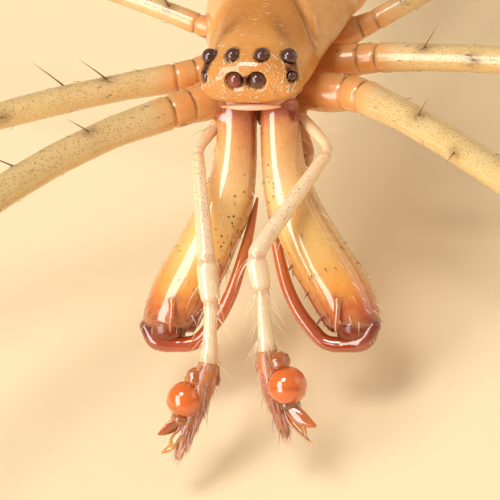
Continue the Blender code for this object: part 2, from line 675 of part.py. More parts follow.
def make_leg(side, sign, number, blockers):
    coxa, trochanter, femur, patella, tibia, metatarsus, tarsus, radius = LEG_SIZES[number]
    coxa_turn, turn, rise, drop, sweep, knee_turn = LEG_POSES[(side, number)]
    name = f"leg_{side}_{number}"
    upright = np.array((0.0, 0.0, 1.0))

    def head_way(degrees, lift):
        return heading(degrees, lift, sign) @ HEAD_FRAME[0].T

    hip = put([(sign * HIPS[number][0], HIPS[number][1], HIP_HEIGHT)], HEAD_FRAME)[0]
    coxa_way = head_way(coxa_turn, COXA_RISE)
    thigh_way = head_way(turn, rise)
    link_way = unit(coxa_way + thigh_way)
    coxa_end = hip + coxa_way * coxa
    hinge = coxa_end + link_way * trochanter
    face = unit(link_way + thigh_way)
    wide = COXA_RADII[number]
    path = between(hip, coxa_end, (0, 0.35, 0.7, 0.95)) + between(coxa_end, hinge, (0.2, 0.6))
    path.append(hinge - face * GAP / 2)
    thick = [wide * f for f in COXA_PROFILE] + [radius * f for f in TROCHANTER_PROFILE]
    hip_piece = tube(f"{name}_coxa", path, thick, thick, 12, upright, FLOOR_FRAME, faces=(None, face))
    trim(hip_piece, blockers)

    # The femur bows down and sweeps forward, most of it near its root
    points = [hinge]
    for k in range(FEMUR_STEPS):
        bent = 1 - (1 - (k + 0.5) / FEMUR_STEPS) ** 3
        way = head_way(turn + sweep * bent, rise - drop * bent)
        points.append(points[-1] + way * femur / FEMUR_STEPS)
    knee = points[-1]
    foot = radius * FOOT_RADIUS
    beyond = math.degrees(math.atan2(-way[1], way[0] * sign)) + knee_turn
    lengths = (patella, tibia, metatarsus, tarsus - foot * 4, foot * 4)
    joints = settled_joints(knee, beyond, lengths, sign, foot * FOOT_LIFT)
    ways = unit(np.diff(joints, axis=0))
    knee_face = unit(way + ways[0])
    points[0] = hinge + face * GAP / 2
    points[-1] = knee - knee_face * GAP / 2
    thick = radius * np.interp(np.linspace(0, 1, len(points)), FEMUR_SHARES, FEMUR_PROFILE)
    thigh = tube(f"{name}_femur", points, thick, thick, 10, upright, FLOOR_FRAME, faces=(face, knee_face))
    seed = number * 10 + int(sign)
    fuse(thigh, spines_on(points, thick, FEMUR_SPINES, FLOOR_FRAME, seed, (0, 1)))

    ankle = unit(ways[1] + ways[2])
    shin = [knee + knee_face * GAP / 2] + between(joints[0], joints[1], (0.3, 0.65, 0.93))
    shin += between(joints[1], joints[2], (0.02, 0.15, 0.35, 0.55, 0.75, 0.93))
    shin.append(joints[2] - ankle * GAP / 2)
    thick = [radius * f for f in SHIN_PROFILE]
    lower = tube(f"{name}_tibia", shin, thick, thick, 8, upright, FLOOR_FRAME, faces=(knee_face, ankle))
    fuse(lower, spines_on(shin, thick, TIBIA_SPINES, FLOOR_FRAME, seed + 100, (0.3, 1)))

    tail = [joints[2] + ankle * GAP / 2] + between(joints[2], joints[3], (0.04, 0.2, 0.4, 0.6, 0.8, 0.98))
    tail += between(joints[3], joints[4], (0.15, 0.5, 1.0)) + between(joints[4], joints[5], (0.5, 1.0))
    thick = [radius * f for f in TAIL_PROFILE]
    lowest = tube(f"{name}_tarsus", tail, thick, thick, 8, upright, FLOOR_FRAME, faces=(ankle, None))
    fuse(lowest, spines_on(tail, thick, METATARSUS_SPINES, FLOOR_FRAME, seed + 200, (0, 0.55)))
    for vertex in lowest.data.vertices:
        vertex.co.z = max(vertex.co.z, 0.0)
    return [hip_piece, thigh, lower, lowest]


def paint(thing, kind):
    colour, roughness = COLOURS[kind]
    material = bpy.data.materials.new(thing.name)
    material.use_nodes = True
    surface = material.node_tree.nodes["Principled BSDF"]
    surface.inputs["Base Color"].default_value = (*colour, 1.0)
    surface.inputs["Roughness"].default_value = roughness
    surface.inputs["Metallic"].default_value = 0.0
    thing.data.materials.clear()
    thing.data.materials.append(material)


def place(things):
    # Metres, with the origin on the floor under the middle of the whole animal
    points = np.array([v.co[:] for thing in things for v in thing.data.vertices])
    middle = (points.min(axis=0) + points.max(axis=0)) / 2
    shift = Matrix.Translation((-middle[0], -middle[1], 0.0))
    for thing in things:
        thing.data.transform(Matrix.Scale(MM, 4) @ shift)
        thing.data.shade_smooth()
        thing.data.set_sharp_from_angle(angle=math.radians(50))


def main():
    for thing in list(bpy.data.objects):
        bpy.data.objects.remove(thing)
    made = []
    carapace, eyes = make_carapace()
    sternum = make_sternum()
    labium, endites = make_mouth_parts(sternum)
    trim(labium, [sternum])
    made += [(carapace, "carapace"), (sternum, "sternum"), (labium, "sternum")]
    made += [(eye, "eye") for eye in eyes]
    for side, sign in SIDES.items():
        made.append((endites[side], "sternum"))
        trim(endites[side], [carapace])
        jaw = make_jaw(side, sign, carapace, [endites[side]])
        made += [(jaw, "jaw"), (make_fang(side, sign, jaw), "fang")]
        femur, tibia, cymbium, bulb = make_palp(side)
        trim(femur, [endites[side], jaw])
        made += [(femur, "palp"), (tibia, "palp"), (cymbium, "cymbium"), (bulb, "bulb")]
        before = [carapace, sternum, endites[side]]
        for number in LEG_SIZES:
            pieces = make_leg(side, sign, number, before)
            before.append(pieces[0])
            made += [(pieces[0], "coxa")] + [(piece, "leg") for piece in pieces[1:]]
    abdomen = make_abdomen()
    pedicel = make_pedicel()
    trim(pedicel, [carapace, abdomen])
    made += [(pedicel, "coxa"), (abdomen, "abdomen"), (make_spinnerets(abdomen), "spinneret")]
    for thing, kind in made:
        paint(thing, kind)
    place([thing for thing, _ in made])


main()
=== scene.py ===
# A male long-jawed orbweaver, life size: the looks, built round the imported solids.
# Pieces are worked out in millimetres, most of them in the head's own frame, and put in place in metres.
import math
import random

import bpy
import numpy as np
from mathutils import Matrix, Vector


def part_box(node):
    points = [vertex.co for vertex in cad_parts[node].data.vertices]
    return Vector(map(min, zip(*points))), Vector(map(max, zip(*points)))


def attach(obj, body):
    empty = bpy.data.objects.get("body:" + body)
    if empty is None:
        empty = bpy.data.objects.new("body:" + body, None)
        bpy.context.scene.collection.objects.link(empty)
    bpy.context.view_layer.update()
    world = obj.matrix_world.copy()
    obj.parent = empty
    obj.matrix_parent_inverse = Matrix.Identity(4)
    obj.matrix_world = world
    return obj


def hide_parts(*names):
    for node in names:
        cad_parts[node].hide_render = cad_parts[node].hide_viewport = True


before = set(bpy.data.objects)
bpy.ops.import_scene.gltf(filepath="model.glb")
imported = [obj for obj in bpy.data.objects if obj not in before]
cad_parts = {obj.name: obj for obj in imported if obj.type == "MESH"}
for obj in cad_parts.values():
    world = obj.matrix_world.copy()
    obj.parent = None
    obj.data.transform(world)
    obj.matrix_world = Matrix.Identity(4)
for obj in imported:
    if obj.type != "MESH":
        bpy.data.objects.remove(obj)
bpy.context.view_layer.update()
print("frame loaded")

mm = 0.001
sides = {"right": -1.0, "left": 1.0}  # the animal's own sides; its right is at -X
acrossWay, upWay = (1.0, 0.0, 0.0), (0.0, 0.0, 1.0)
stance = {
    "bodyHeight": 1.70,  # middle of the carapace over the floor
    "headTilt": 8.0,  # degrees that the front is raised
    "abdomenTilt": 3.0,  # degrees that the abdomen's rear hangs
}
eyePlaces = {  # sideways, forward, height and radius, in the head's frame
    "front_middle": (0.071, -0.950, 0.165, 0.056),
    "front_side": (0.276, -0.884, 0.144, 0.036),
    "rear_middle": (0.096, -0.842, 0.276, 0.050),
    "rear_side": (0.262, -0.798, 0.236, 0.054),
}


def turnX(degrees):
    return np.array(Matrix.Rotation(math.radians(degrees), 3, "X"))


def boxMiddle(node):
    low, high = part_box(node)
    return np.array((low + high) / 2) / mm


headTurn = turnX(-stance["headTilt"])
frontEyes = (boxMiddle("eye_front_middle_right") + boxMiddle("eye_front_middle_left")) / 2
headOrigin = frontEyes - headTurn @ np.array((0.0, *eyePlaces["front_middle"][1:3]))
headFrame = (headTurn, headOrigin)
floorFrame = (np.eye(3), headOrigin * (1, 1, 0))


def put(points, place):
    turn, shift = place
    return np.asarray(points, float) @ turn.T + shift


def unit(vectors):
    vectors = np.asarray(vectors, float)
    return vectors / np.maximum(np.linalg.norm(vectors, axis=-1, keepdims=True), 1e-12)


def ease(low, high, value):  # 0 below low, 1 above high, smooth between
    share = np.clip((np.asarray(value, float) - low) / (high - low), 0, 1)
    return share * share * (3 - 2 * share)


def bell(value, width):  # 1 at 0, falling off over width
    return np.exp(-((np.asarray(value, float) / width) ** 2))


def smoothRows(rows, count):  # a Catmull-Rom curve through the rows, at count even steps
    rows = np.asarray(rows, float)
    padded = np.vstack((2 * rows[0] - rows[1], rows, 2 * rows[-1] - rows[-2]))
    steps = np.linspace(0, len(rows) - 1, count)
    first = np.minimum(steps.astype(int), len(rows) - 2)
    t = (steps - first)[:, None]
    a, b, c, d = (padded[first + k] for k in range(4))
    square, cube = 2 * a - 5 * b + 4 * c - d, 3 * b - a - 3 * c + d
    return 0.5 * (2 * b + (c - a) * t + square * t**2 + cube * t**3)


# Forms: points, faces, their unwrap, and what is known at each point

def ringAt(centre, side, top, halfWidth, above, below, count, squareness=1.0):
    angles = np.arange(count) * 2 * math.pi / count
    across = np.sign(np.cos(angles)) * np.abs(np.cos(angles)) ** squareness
    upward = np.sign(np.sin(angles)) * np.abs(np.sin(angles)) ** squareness
    height = np.where(upward > 0, above, below)
    return centre + np.outer(across * halfWidth, side) + np.outer(upward * height, top)


def capRings(rim, inner, reach, steps):  # a round end past the rim, and its pole
    middle = rim.mean(axis=0)
    way = unit(middle - inner.mean(axis=0))
    angles = np.linspace(0, math.pi / 2, steps + 1)[1:-1]
    rings = [middle + (rim - middle) * math.cos(a) + way * reach * math.sin(a) for a in angles]
    return rings, middle + way * reach


def loftForm(rings, reaches, capSteps=6):  # a closed skin over rings, with round ends
    rings = [np.asarray(ring) for ring in rings]
    count = len(rings[0])
    startRings, startPole = capRings(rings[0], rings[1], reaches[0], capSteps)
    endRings, endPole = capRings(rings[-1], rings[-2], reaches[1], capSteps)
    stack = np.array(startRings[::-1] + rings + endRings)
    rows = len(stack)
    steps = np.r_[0, np.cumsum(np.linalg.norm(np.diff(stack.mean(axis=1), axis=0), axis=1))]
    along = steps / steps[-1]
    given = np.clip(np.arange(rows) - len(startRings), 0, len(rings) - 1)  # which given ring a row belongs to
    here, after = np.arange(count), (np.arange(count) + 1) % count
    leftU, middleU, rightU = here / count, (here + 0.5) / count, (here + 1) / count
    start = np.arange(rows - 1)[:, None] * count
    quads = np.stack((start + here, start + after, start + count + after, start + count + here), axis=2)
    lowV, highV = np.repeat(along[:-1], count), np.repeat(along[1:], count)
    leftAll, rightAll = np.tile(leftU, rows - 1), np.tile(rightU, rows - 1)
    corners = ((leftAll, lowV), (rightAll, lowV), (rightAll, highV), (leftAll, highV))
    last = (rows - 1) * count
    startFan = np.stack((after, here, np.full(count, rows * count)), axis=1)
    endFan = np.stack((last + here, last + after, np.full(count, rows * count + 1)), axis=1)
    startUv = np.stack([np.stack((u, np.zeros(count)), axis=1) for u in (rightU, leftU, middleU)], 1)
    endUv = np.stack([np.stack((u, np.ones(count)), axis=1) for u in (leftU, rightU, middleU)], 1)
    form = {
        "points": np.vstack((stack.reshape(-1, 3), startPole, endPole)),
        "quads": quads.reshape(-1, 4), "tris": np.vstack((startFan, endFan)),
        "quadUv": np.stack([np.stack(corner, axis=1) for corner in corners], axis=1),
        "triUv": np.vstack((startUv, endUv)),
        "along": np.r_[np.repeat(along, count), 0.0, 1.0],
        "row": np.r_[np.repeat(given, count), 0, len(rings) - 1],
        "around": np.r_[np.tile(leftU, rows), 0.0, 0.0],
    }
    if volumeOf(form) < 0:
        for key in ("quads", "tris", "quadUv", "triUv"):
            form[key] = form[key][:, ::-1]
    return form


def volumeOf(form):
    p, q, t = form["points"], form["quads"], form["tris"]
    total = 0.0
    for faces, (a, b, c) in ((q, (0, 1, 2)), (q, (0, 2, 3)), (t, (0, 1, 2))):
        total += np.einsum("ij,ij->i", p[faces[:, a]], np.cross(p[faces[:, b]], p[faces[:, c]])).sum()
    return total


def normalsOf(form):
    p, q, t = form["points"], form["quads"], form["tris"]
    normals = np.zeros_like(p)
    quadNormals = np.cross(p[q[:, 2]] - p[q[:, 0]], p[q[:, 3]] - p[q[:, 1]])
    triNormals = np.cross(p[t[:, 1]] - p[t[:, 0]], p[t[:, 2]] - p[t[:, 0]])
    for faces, flat in ((q, quadNormals), (t, triNormals)):
        for corner in range(faces.shape[1]):
            np.add.at(normals, faces[:, corner], flat)
    return unit(normals)


def raiseForm(form, heights):  # move the skin out along its own normals
    form["points"] = form["points"] + normalsOf(form) * np.asarray(heights)[:, None]


def tubeForm(path, halfWidth, halfHeight, count, up, reaches, capSteps=5):
    path = np.asarray(path, float)
    along = unit(np.gradient(path, axis=0))
    side = unit(np.cross(along, up))
    top = np.cross(side, along)
    halfWidth, halfHeight = (np.broadcast_to(half, len(path)) for half in (halfWidth, halfHeight))
    rings = [
        ringAt(path[k], side[k], top[k], halfWidth[k], halfHeight[k], halfHeight[k], count)
        for k in range(len(path))
    ]
    form = loftForm(rings, reaches, capSteps)
    form["lie"] = along[form["row"]]
    return form


def bodyForm(rows, count, reaches, squareness=1.0):
    # A skin over upright rings: each row has y, half width, middle height, and the reach above and below
    rings = [
        ringAt((0, y, middle), acrossWay, upWay, halfWidth, above, below, count, squareness)
        for y, halfWidth, middle, above, below in rows
    ]
    return loftForm(rings, reaches)


def evenRows(rows, count):  # from y, half width, top and underside
    y, halfWidth, top, below = smoothRows(rows, count).T
    half = (top - below) / 2
    return np.column_stack((y, halfWidth, (top + below) / 2, half, half))


def ballForm(centre, radii, way, count):  # a ball whose poles lie along way
    way = unit(way)
    side = unit(np.cross(way, (0.3, 1.0, 0.2)))
    top = np.cross(side, way)
    rings = []
    lastLift = 80  # degrees from the middle to the last ring, short of the pole
    for lift in np.linspace(-lastLift, lastLift, count // 2):
        flat, high = math.cos(math.radians(lift)), math.sin(math.radians(lift))
        middle = np.asarray(centre) + way * radii[2] * high
        rings.append(ringAt(middle, side, top, radii[0] * flat, radii[1] * flat, radii[1] * flat, count))
    reach = radii[2] * (1 - math.sin(math.radians(lastLift)))
    return loftForm(rings, (reach, reach), 3)


def joinForms(*forms):
    starts = np.cumsum([0] + [len(form["points"]) for form in forms[:-1]])
    joined = {key: np.concatenate([form[key] for form in forms]) for key in ("points", "quadUv", "triUv")}
    for key in ("quads", "tris"):
        joined[key] = np.vstack([form[key] + start for form, start in zip(forms, starts)])
    for key in ("lie", *paintKeys):
        width = (3,) if key == "lie" else ()
        values = [np.broadcast_to(form.get(key, 0.0), (len(form["points"]), *width)) for form in forms]
        joined[key] = np.concatenate(values)
    return joined


# Pieces

paintKeys = ("tone", "stain", "freckle", "coat")  # what the materials and the setae read at each point


def addObject(name, data):
    thing = bpy.data.objects.new(name, data)
    bpy.context.scene.collection.objects.link(thing)
    return thing


def finishPiece(thing, replaced=()):
    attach(thing, "root")
    if replaced:
        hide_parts(*replaced)
    return thing


def storeValues(mesh, key, kind, values):
    field = "value" if kind == "FLOAT" else "vector"
    mesh.attributes.new(key, kind, "POINT").data.foreach_set(field, np.asarray(values, np.float32).ravel())


def makePiece(name, form, place, material, replaced=()):
    mesh = bpy.data.meshes.new(name)
    count = len(form["points"])
    faces = form["quads"].tolist() + form["tris"].tolist()
    mesh.from_pydata((put(form["points"], place) * mm).tolist(), [], faces)
    layer = mesh.uv_layers.new(name="SkinUV")
    layer.data.foreach_set("uv", np.concatenate((form["quadUv"].ravel(), form["triUv"].ravel())))
    for key in paintKeys:
        storeValues(mesh, key, "FLOAT", np.broadcast_to(form.get(key, 0.0), count))
    lie = np.broadcast_to(form.get("lie", (0.0, 1.0, 0.0)), (count, 3))
    storeValues(mesh, "lie", "FLOAT_VECTOR", lie @ place[0].T)
    mesh.shade_smooth()
    mesh.materials.append(material)
    mesh.validate()
    return finishPiece(addObject(name, mesh), replaced)


# Materials; colours are the red, green and blue that a screen shows, 0 to 255

def rgb(colour):  # to the linear values that materials use
    linear = []
    for value in (part / 255 for part in colour):
        linear.append(value / 12.92 if value <= 0.04045 else ((value + 0.055) / 1.055) ** 2.4)
    return (*linear, 1.0)


def feed(tree, node, inputs):  # sockets are linked, plain values are set
    for key, value in inputs.items():
        if isinstance(value, bpy.types.NodeSocket):
            tree.links.new(value, node.inputs[key])
        else:
            node.inputs[key].default_value = value


def addNode(tree, kind, inputs=None, **settings):
    node = tree.nodes.new(kind)
    for key, value in settings.items():
        setattr(node, key, value)
    feed(tree, node, inputs or {})
    return node


def newMaterial(name):
    material = bpy.data.materials.new(name)
    material.use_nodes = True
    return material, material.node_tree, material.node_tree.nodes["Principled BSDF"]


def mixColours(tree, share, first, second):
    return addNode(tree, "ShaderNodeMix", {0: share, 6: first, 7: second}, data_type="RGBA").outputs[2]


def rampOf(tree, factor, stops):  # each stop has its place, then its colour
    ramp = addNode(tree, "ShaderNodeValToRGB", {0: factor})
    points = ramp.color_ramp.elements
    while len(points) < len(stops):
        points.new(0.5)
    for point, (place, *colour) in zip(points, stops):
        point.position, point.color = place, rgb(colour)
    return ramp.outputs[0]


def scaledPlace(tree, scale):  # object coordinates in millimetres, times scale
    where = addNode(tree, "ShaderNodeTexCoord").outputs["Object"]
    sizes = [s / mm for s in np.broadcast_to(scale, 3).tolist()]
    return addNode(tree, "ShaderNodeMapping", {"Vector": where, "Scale": sizes}).outputs[0]


def noiseOf(tree, scale, detail=2.0):
    inputs = {"Scale": 1.0, "Detail": detail, "Roughness": 0.55, "Vector": scaledPlace(tree, scale)}
    return addNode(tree, "ShaderNodeTexNoise", inputs).outputs[0]


def cellsOf(tree, scale, output, **settings):
    inputs = {"Scale": 1.0, "Vector": scaledPlace(tree, scale)}
    return addNode(tree, "ShaderNodeTexVoronoi", inputs, **settings).outputs[output]


def rangeOf(tree, value, low, high, newLow, newHigh):
    inputs = {"Value": value, "From Min": low, "From Max": high, "To Min": newLow, "To Max": newHigh}
    return addNode(tree, "ShaderNodeMapRange", inputs, interpolation_type="SMOOTHSTEP").outputs[0]


def product(tree, first, second):
    return addNode(tree, "ShaderNodeMath", {0: first, 1: second}, operation="MULTIPLY").outputs[0]


def attributeOf(tree, name):
    return addNode(tree, "ShaderNodeAttribute", attribute_name=name).outputs["Fac"]


def bumpOf(tree, layers):  # (height socket, strength, depth in millimetres), one on another
    normal = {}
    for height, strength, depth in layers:
        inputs = {"Strength": strength, "Distance": depth * mm, "Height": height, **normal}
        normal = {"Normal": addNode(tree, "ShaderNodeBump", inputs).outputs[0]}
    return normal["Normal"]


baseLook = {
    "mottle": 0.35, "mottleScale": 9.0, "mottleColour": (214, 140, 66), "lumps": 0.004,
    "dotSize": 0.30, "dotScale": 26.0, "dotColour": (88, 52, 26), "dotRelief": 0.0016,
    "stainAndShadeScale": 22.0, "stainAndShadeColour": (96, 56, 28),
    "grainScale": 70.0, "grain": 0.0016, "pebbleScale": 50.0, "pebble": 0.0,
    "roughness": (0.26, 0.42), "coat": 0.7, "coatRoughness": 0.09, "coatIor": 1.6, "gloss": 0.5,
    "glow": 0.45, "glowDepth": 0.09,
}
looks = {
    "carapace": {
        "ramp": ((0.0, 240, 184, 116), (0.30, 232, 160, 80), (0.62, 212, 134, 50), (1.0, 176, 98, 30)),
        "mottle": 0.5, "mottleScale": 6.0, "mottleColour": (206, 140, 70), "stainAndShadeColour": (84, 38, 22),
        # pale dots: painted small glints on the face and the flanks
        "dotSize": 0.24, "dotScale": 48.0, "dotColour": (255, 236, 206), "dotRelief": 0.004, "pebble": 0.008,
        "roughness": (0.30, 0.46), "coat": 0.8, "coatRoughness": 0.06, "coatIor": 1.8, "gloss": 0.2,
    },
    "jaw": {
        "ramp": (
            (0.0, 206, 116, 66), (0.12, 228, 156, 94), (0.36, 246, 206, 142), (0.64, 250, 200, 116),
            (0.80, 242, 156, 52), (0.90, 206, 92, 28), (1.0, 120, 36, 14),
        ),
        # the jaw's stain colour paints its dark marks, and also painted shade along its edges
        "mottleScale": 6.0, "mottleColour": (246, 196, 112), "lumps": 0.0025, "stainAndShadeColour": (140, 50, 16),
        "dotSize": 0.20, "dotScale": 20.0, "dotColour": (64, 34, 18), "pebble": 0.004,
        "roughness": (0.22, 0.36), "coat": 1.0, "coatRoughness": 0.05, "coatIor": 1.85,
    },
    "fang": {
        "ramp": ((0.0, 134, 38, 12), (0.20, 182, 66, 18), (0.6, 214, 108, 38), (1.0, 214, 128, 60)),
        "mottleColour": (186, 76, 26), "lumps": 0.0015, "stainAndShadeColour": (110, 32, 10),
        "roughness": (0.12, 0.22), "coat": 1.0, "coatRoughness": 0.03, "coatIor": 1.85,
        "glow": 0.25, "glowDepth": 0.05,
    },
    "leg": {
        "ramp": (
            (0.0, 230, 152, 84), (0.10, 236, 168, 98), (0.26, 234, 200, 144), (0.55, 226, 198, 138),
            (0.80, 222, 184, 110), (1.0, 206, 160, 92),
        ),
        "mottle": 0.4, "mottleColour": (214, 176, 104), "stainAndShadeColour": (116, 66, 34),
        "dotScale": 56.0, "dotColour": (152, 118, 68), "coatRoughness": 0.10, "coatIor": 1.7,
        "glow": 0.55, "glowDepth": 0.07,
    },
    "palp": {
        "ramp": ((0.0, 240, 208, 158), (0.4, 250, 224, 188), (0.7, 252, 226, 194), (1.0, 236, 188, 140)),
        "mottleColour": (236, 190, 158), "stainAndShadeColour": (206, 142, 92),
        "dotSize": 0.26, "dotScale": 50.0, "dotColour": (150, 98, 54), "coat": 1.0, "coatIor": 1.8,
        "glow": 0.6, "glowDepth": 0.06,
    },
    "cymbium": {
        "ramp": ((0.0, 208, 128, 66), (0.45, 188, 108, 60), (0.8, 182, 106, 66), (1.0, 204, 148, 70)),
        "mottleColour": (214, 142, 106), "stainAndShadeColour": (104, 44, 26), "roughness": (0.28, 0.42),
    },
    "bulb": {
        "ramp": (
            (0.0, 228, 108, 26), (0.45, 214, 100, 28), (0.62, 184, 98, 44), (0.78, 148, 92, 58),
            (1.0, 218, 158, 66),
        ),
        "mottleColour": (228, 128, 42), "lumps": 0.002, "stainAndShadeColour": (110, 56, 34),
        "roughness": (0.10, 0.20), "coat": 1.0, "coatRoughness": 0.03, "coatIor": 1.8,
        "glow": 0.6, "glowDepth": 0.08,
    },
    "sternum": {"ramp": ((0.0, 222, 160, 96), (1.0, 160, 100, 52)), "mottleColour": (200, 138, 78)},
    "soft": {
        "ramp": ((0.0, 240, 186, 158), (1.0, 228, 150, 92)), "mottleColour": (240, 190, 150),
        "roughness": (0.35, 0.5), "coat": 0.5, "glow": 0.6,
    },
    "spinneret": {
        "ramp": ((0.0, 150, 110, 72), (1.0, 116, 76, 44)), "mottleColour": (180, 140, 96), "coat": 0.3,
    },
}


def shellMaterial(name, look):
    # tone runs along the ramp, mottling shifts it, dots and stains darken it; on the jaws the stain also
    # paints shade along both side edges, and on the carapace the dots are pale and paint small glints
    material, tree, shader = newMaterial(name)
    freckle, stain = attributeOf(tree, "freckle"), attributeOf(tree, "stain")
    mottle = noiseOf(tree, look["mottleScale"], 4.0)
    patches = rangeOf(tree, mottle, 0.35, 0.75, 0.0, look["mottle"])
    colour = rampOf(tree, attributeOf(tree, "tone"), look["ramp"])
    colour = mixColours(tree, patches, colour, rgb(look["mottleColour"]))
    dots = cellsOf(tree, look["dotScale"], "Distance")
    spots = product(tree, rangeOf(tree, dots, look["dotSize"] * 0.55, look["dotSize"], 1.0, 0.0), freckle)
    colour = mixColours(tree, spots, colour, rgb(look["dotColour"]))
    uneven = rangeOf(tree, noiseOf(tree, look["stainAndShadeScale"], 3.0), 0.30, 0.65, 0.55, 1.15)
    colour = mixColours(tree, product(tree, stain, uneven), colour, rgb(look["stainAndShadeColour"]))
    pebbles = product(tree, noiseOf(tree, look["pebbleScale"], 1.0), freckle)
    relief = (
        (mottle, 0.35, look["lumps"]), (noiseOf(tree, look["grainScale"]), 0.3, look["grain"]),
        (spots, 0.5, look["dotRelief"]), (pebbles, 0.8, look["pebble"]),
    )
    feed(tree, shader, {
        "Base Color": colour, "Normal": bumpOf(tree, relief),
        "Roughness": rangeOf(tree, noiseOf(tree, look["mottleScale"] * 4), 0.3, 0.7, *look["roughness"]),
        "Coat Weight": rangeOf(tree, stain, 0.3, 0.9, look["coat"], look["coat"] * 0.25),
        "Coat Roughness": look["coatRoughness"], "Coat IOR": look["coatIor"],
        "Specular IOR Level": look["gloss"], "IOR": 1.55, "Subsurface Weight": look["glow"],
        "Subsurface Radius": (1.0, 0.45, 0.16), "Subsurface Scale": look["glowDepth"] * mm,
    })
    return material


def eyeMaterial(name, rim, middle):  # dark lens; tone is 1 where it looks out
    material, tree, shader = newMaterial(name)
    depth = noiseOf(tree, 30.0)
    colour = rampOf(tree, attributeOf(tree, "tone"), ((0.0, 58, 20, 16), (0.55, *rim), (1.0, *middle)))
    feed(tree, shader, {
        "Base Color": mixColours(tree, rangeOf(tree, depth, 0.4, 0.8, 0.0, 0.4), colour, rgb((92, 36, 28))),
        "Roughness": rangeOf(tree, depth, 0.3, 0.7, 0.05, 0.12),
        "Coat Weight": 1.0, "Coat Roughness": 0.015, "IOR": 1.55,
    })
    return material


def abdomenMaterial(name):  # silver flecks under a clear skin, with brown lines between them
    material, tree, shader = newMaterial(name)
    fleckScale = (22.0, 14.0, 22.0)
    stain = attributeOf(tree, "stain")
    between = cellsOf(tree, fleckScale, "Distance", feature="DISTANCE_TO_EDGE")
    fleck = rangeOf(tree, between, 0.0, 0.16, 0.15, 1.0)
    silver = rampOf(tree, cellsOf(tree, fleckScale, "Color"), (
        (0.0, 214, 200, 164), (0.45, 236, 228, 204), (0.75, 248, 244, 230), (1.0, 228, 212, 170),
    ))
    ground = rampOf(tree, attributeOf(tree, "tone"), ((0.0, 206, 172, 114), (1.0, 132, 94, 56)))
    leaf = product(tree, stain, rangeOf(tree, noiseOf(tree, 8.0, 4.0), 0.3, 0.6, 0.6, 1.1))
    feed(tree, shader, {
        "Base Color": mixColours(tree, leaf, mixColours(tree, fleck, ground, silver), rgb((116, 82, 50))),
        "Metallic": product(tree, fleck, rangeOf(tree, stain, 0.1, 0.8, 0.30, 0.05)),
        "Roughness": rangeOf(tree, noiseOf(tree, 40.0), 0.3, 0.7, 0.28, 0.45),
        "Normal": bumpOf(tree, ((fleck, 0.5, 0.004), (noiseOf(tree, 60.0), 0.3, 0.002))),
        "Coat Weight": 0.5, "Coat Roughness": 0.14, "Subsurface Weight": 0.25,
        "Subsurface Radius": (1.0, 0.6, 0.35), "Subsurface Scale": 0.08 * mm,
    })
    return material


def hairMaterial(name, root, tip, roughness=0.35, coat=0.4):
    material, tree, shader = newMaterial(name)
    share = rangeOf(tree, noiseOf(tree, 12.0), 0.35, 0.65, 0.0, 1.0)
    fine = noiseOf(tree, 90.0, 1.0)
    feed(tree, shader, {
        "Base Color": mixColours(tree, share, rgb(root), rgb(tip)),
        "Roughness": rangeOf(tree, fine, 0.3, 0.7, roughness * 0.8, roughness * 1.2),
        "Coat Weight": coat, "Coat Roughness": 0.1,
    })
    return material


shells = {key: shellMaterial(key + "Shell", {**baseLook, **look}) for key, look in looks.items()}
eyeDark = eyeMaterial("eyeLensDark", (66, 24, 18), (84, 38, 34))
# a redder copy of the lens for one eye: painted glow of light caught in it
eyeLitRed = eyeMaterial("eyeLensLitRed", (96, 34, 24), (142, 60, 42))
silverSkin = abdomenMaterial("silverSkin")
hairDark = hairMaterial("hairDark", (58, 34, 20), (96, 60, 34))
hairPale = hairMaterial("hairPale", (252, 240, 216), (240, 216, 176), 0.3, 0.8)
hairRose = hairMaterial("hairRose", (240, 196, 180), (206, 142, 122), 0.25, 1.0)
spineHorn = hairMaterial("spineHorn", (120, 82, 50), (150, 118, 78), 0.28, 0.7)
toothHorn = hairMaterial("toothHorn", (132, 62, 34), (176, 112, 76), 0.12, 1.0)
print("materials made")


# Setae, spines, teeth and claws: one curved strand, set on points of a skin

strandInputs = {  # kind of value, and what stands where a look gives none; lengths in millimetres
    "Density": ("Float", 0.0), "Seed": ("Int", 1), "Length": ("Float", 1.0), "Thickness": ("Float", 0.1),
    "Spread": ("Float", 0.3), "Lean": ("Float", 0.0), "Curl": ("Float", 0.2), "Sunk": ("Float", 0.08),
    "Patch": ("Float", 0.003), "Material": ("Material", None),
}
strandUnits = {"Density": 1 / mm**2, "Length": mm, "Thickness": mm}
strandSides, strandSteps = 5, 4


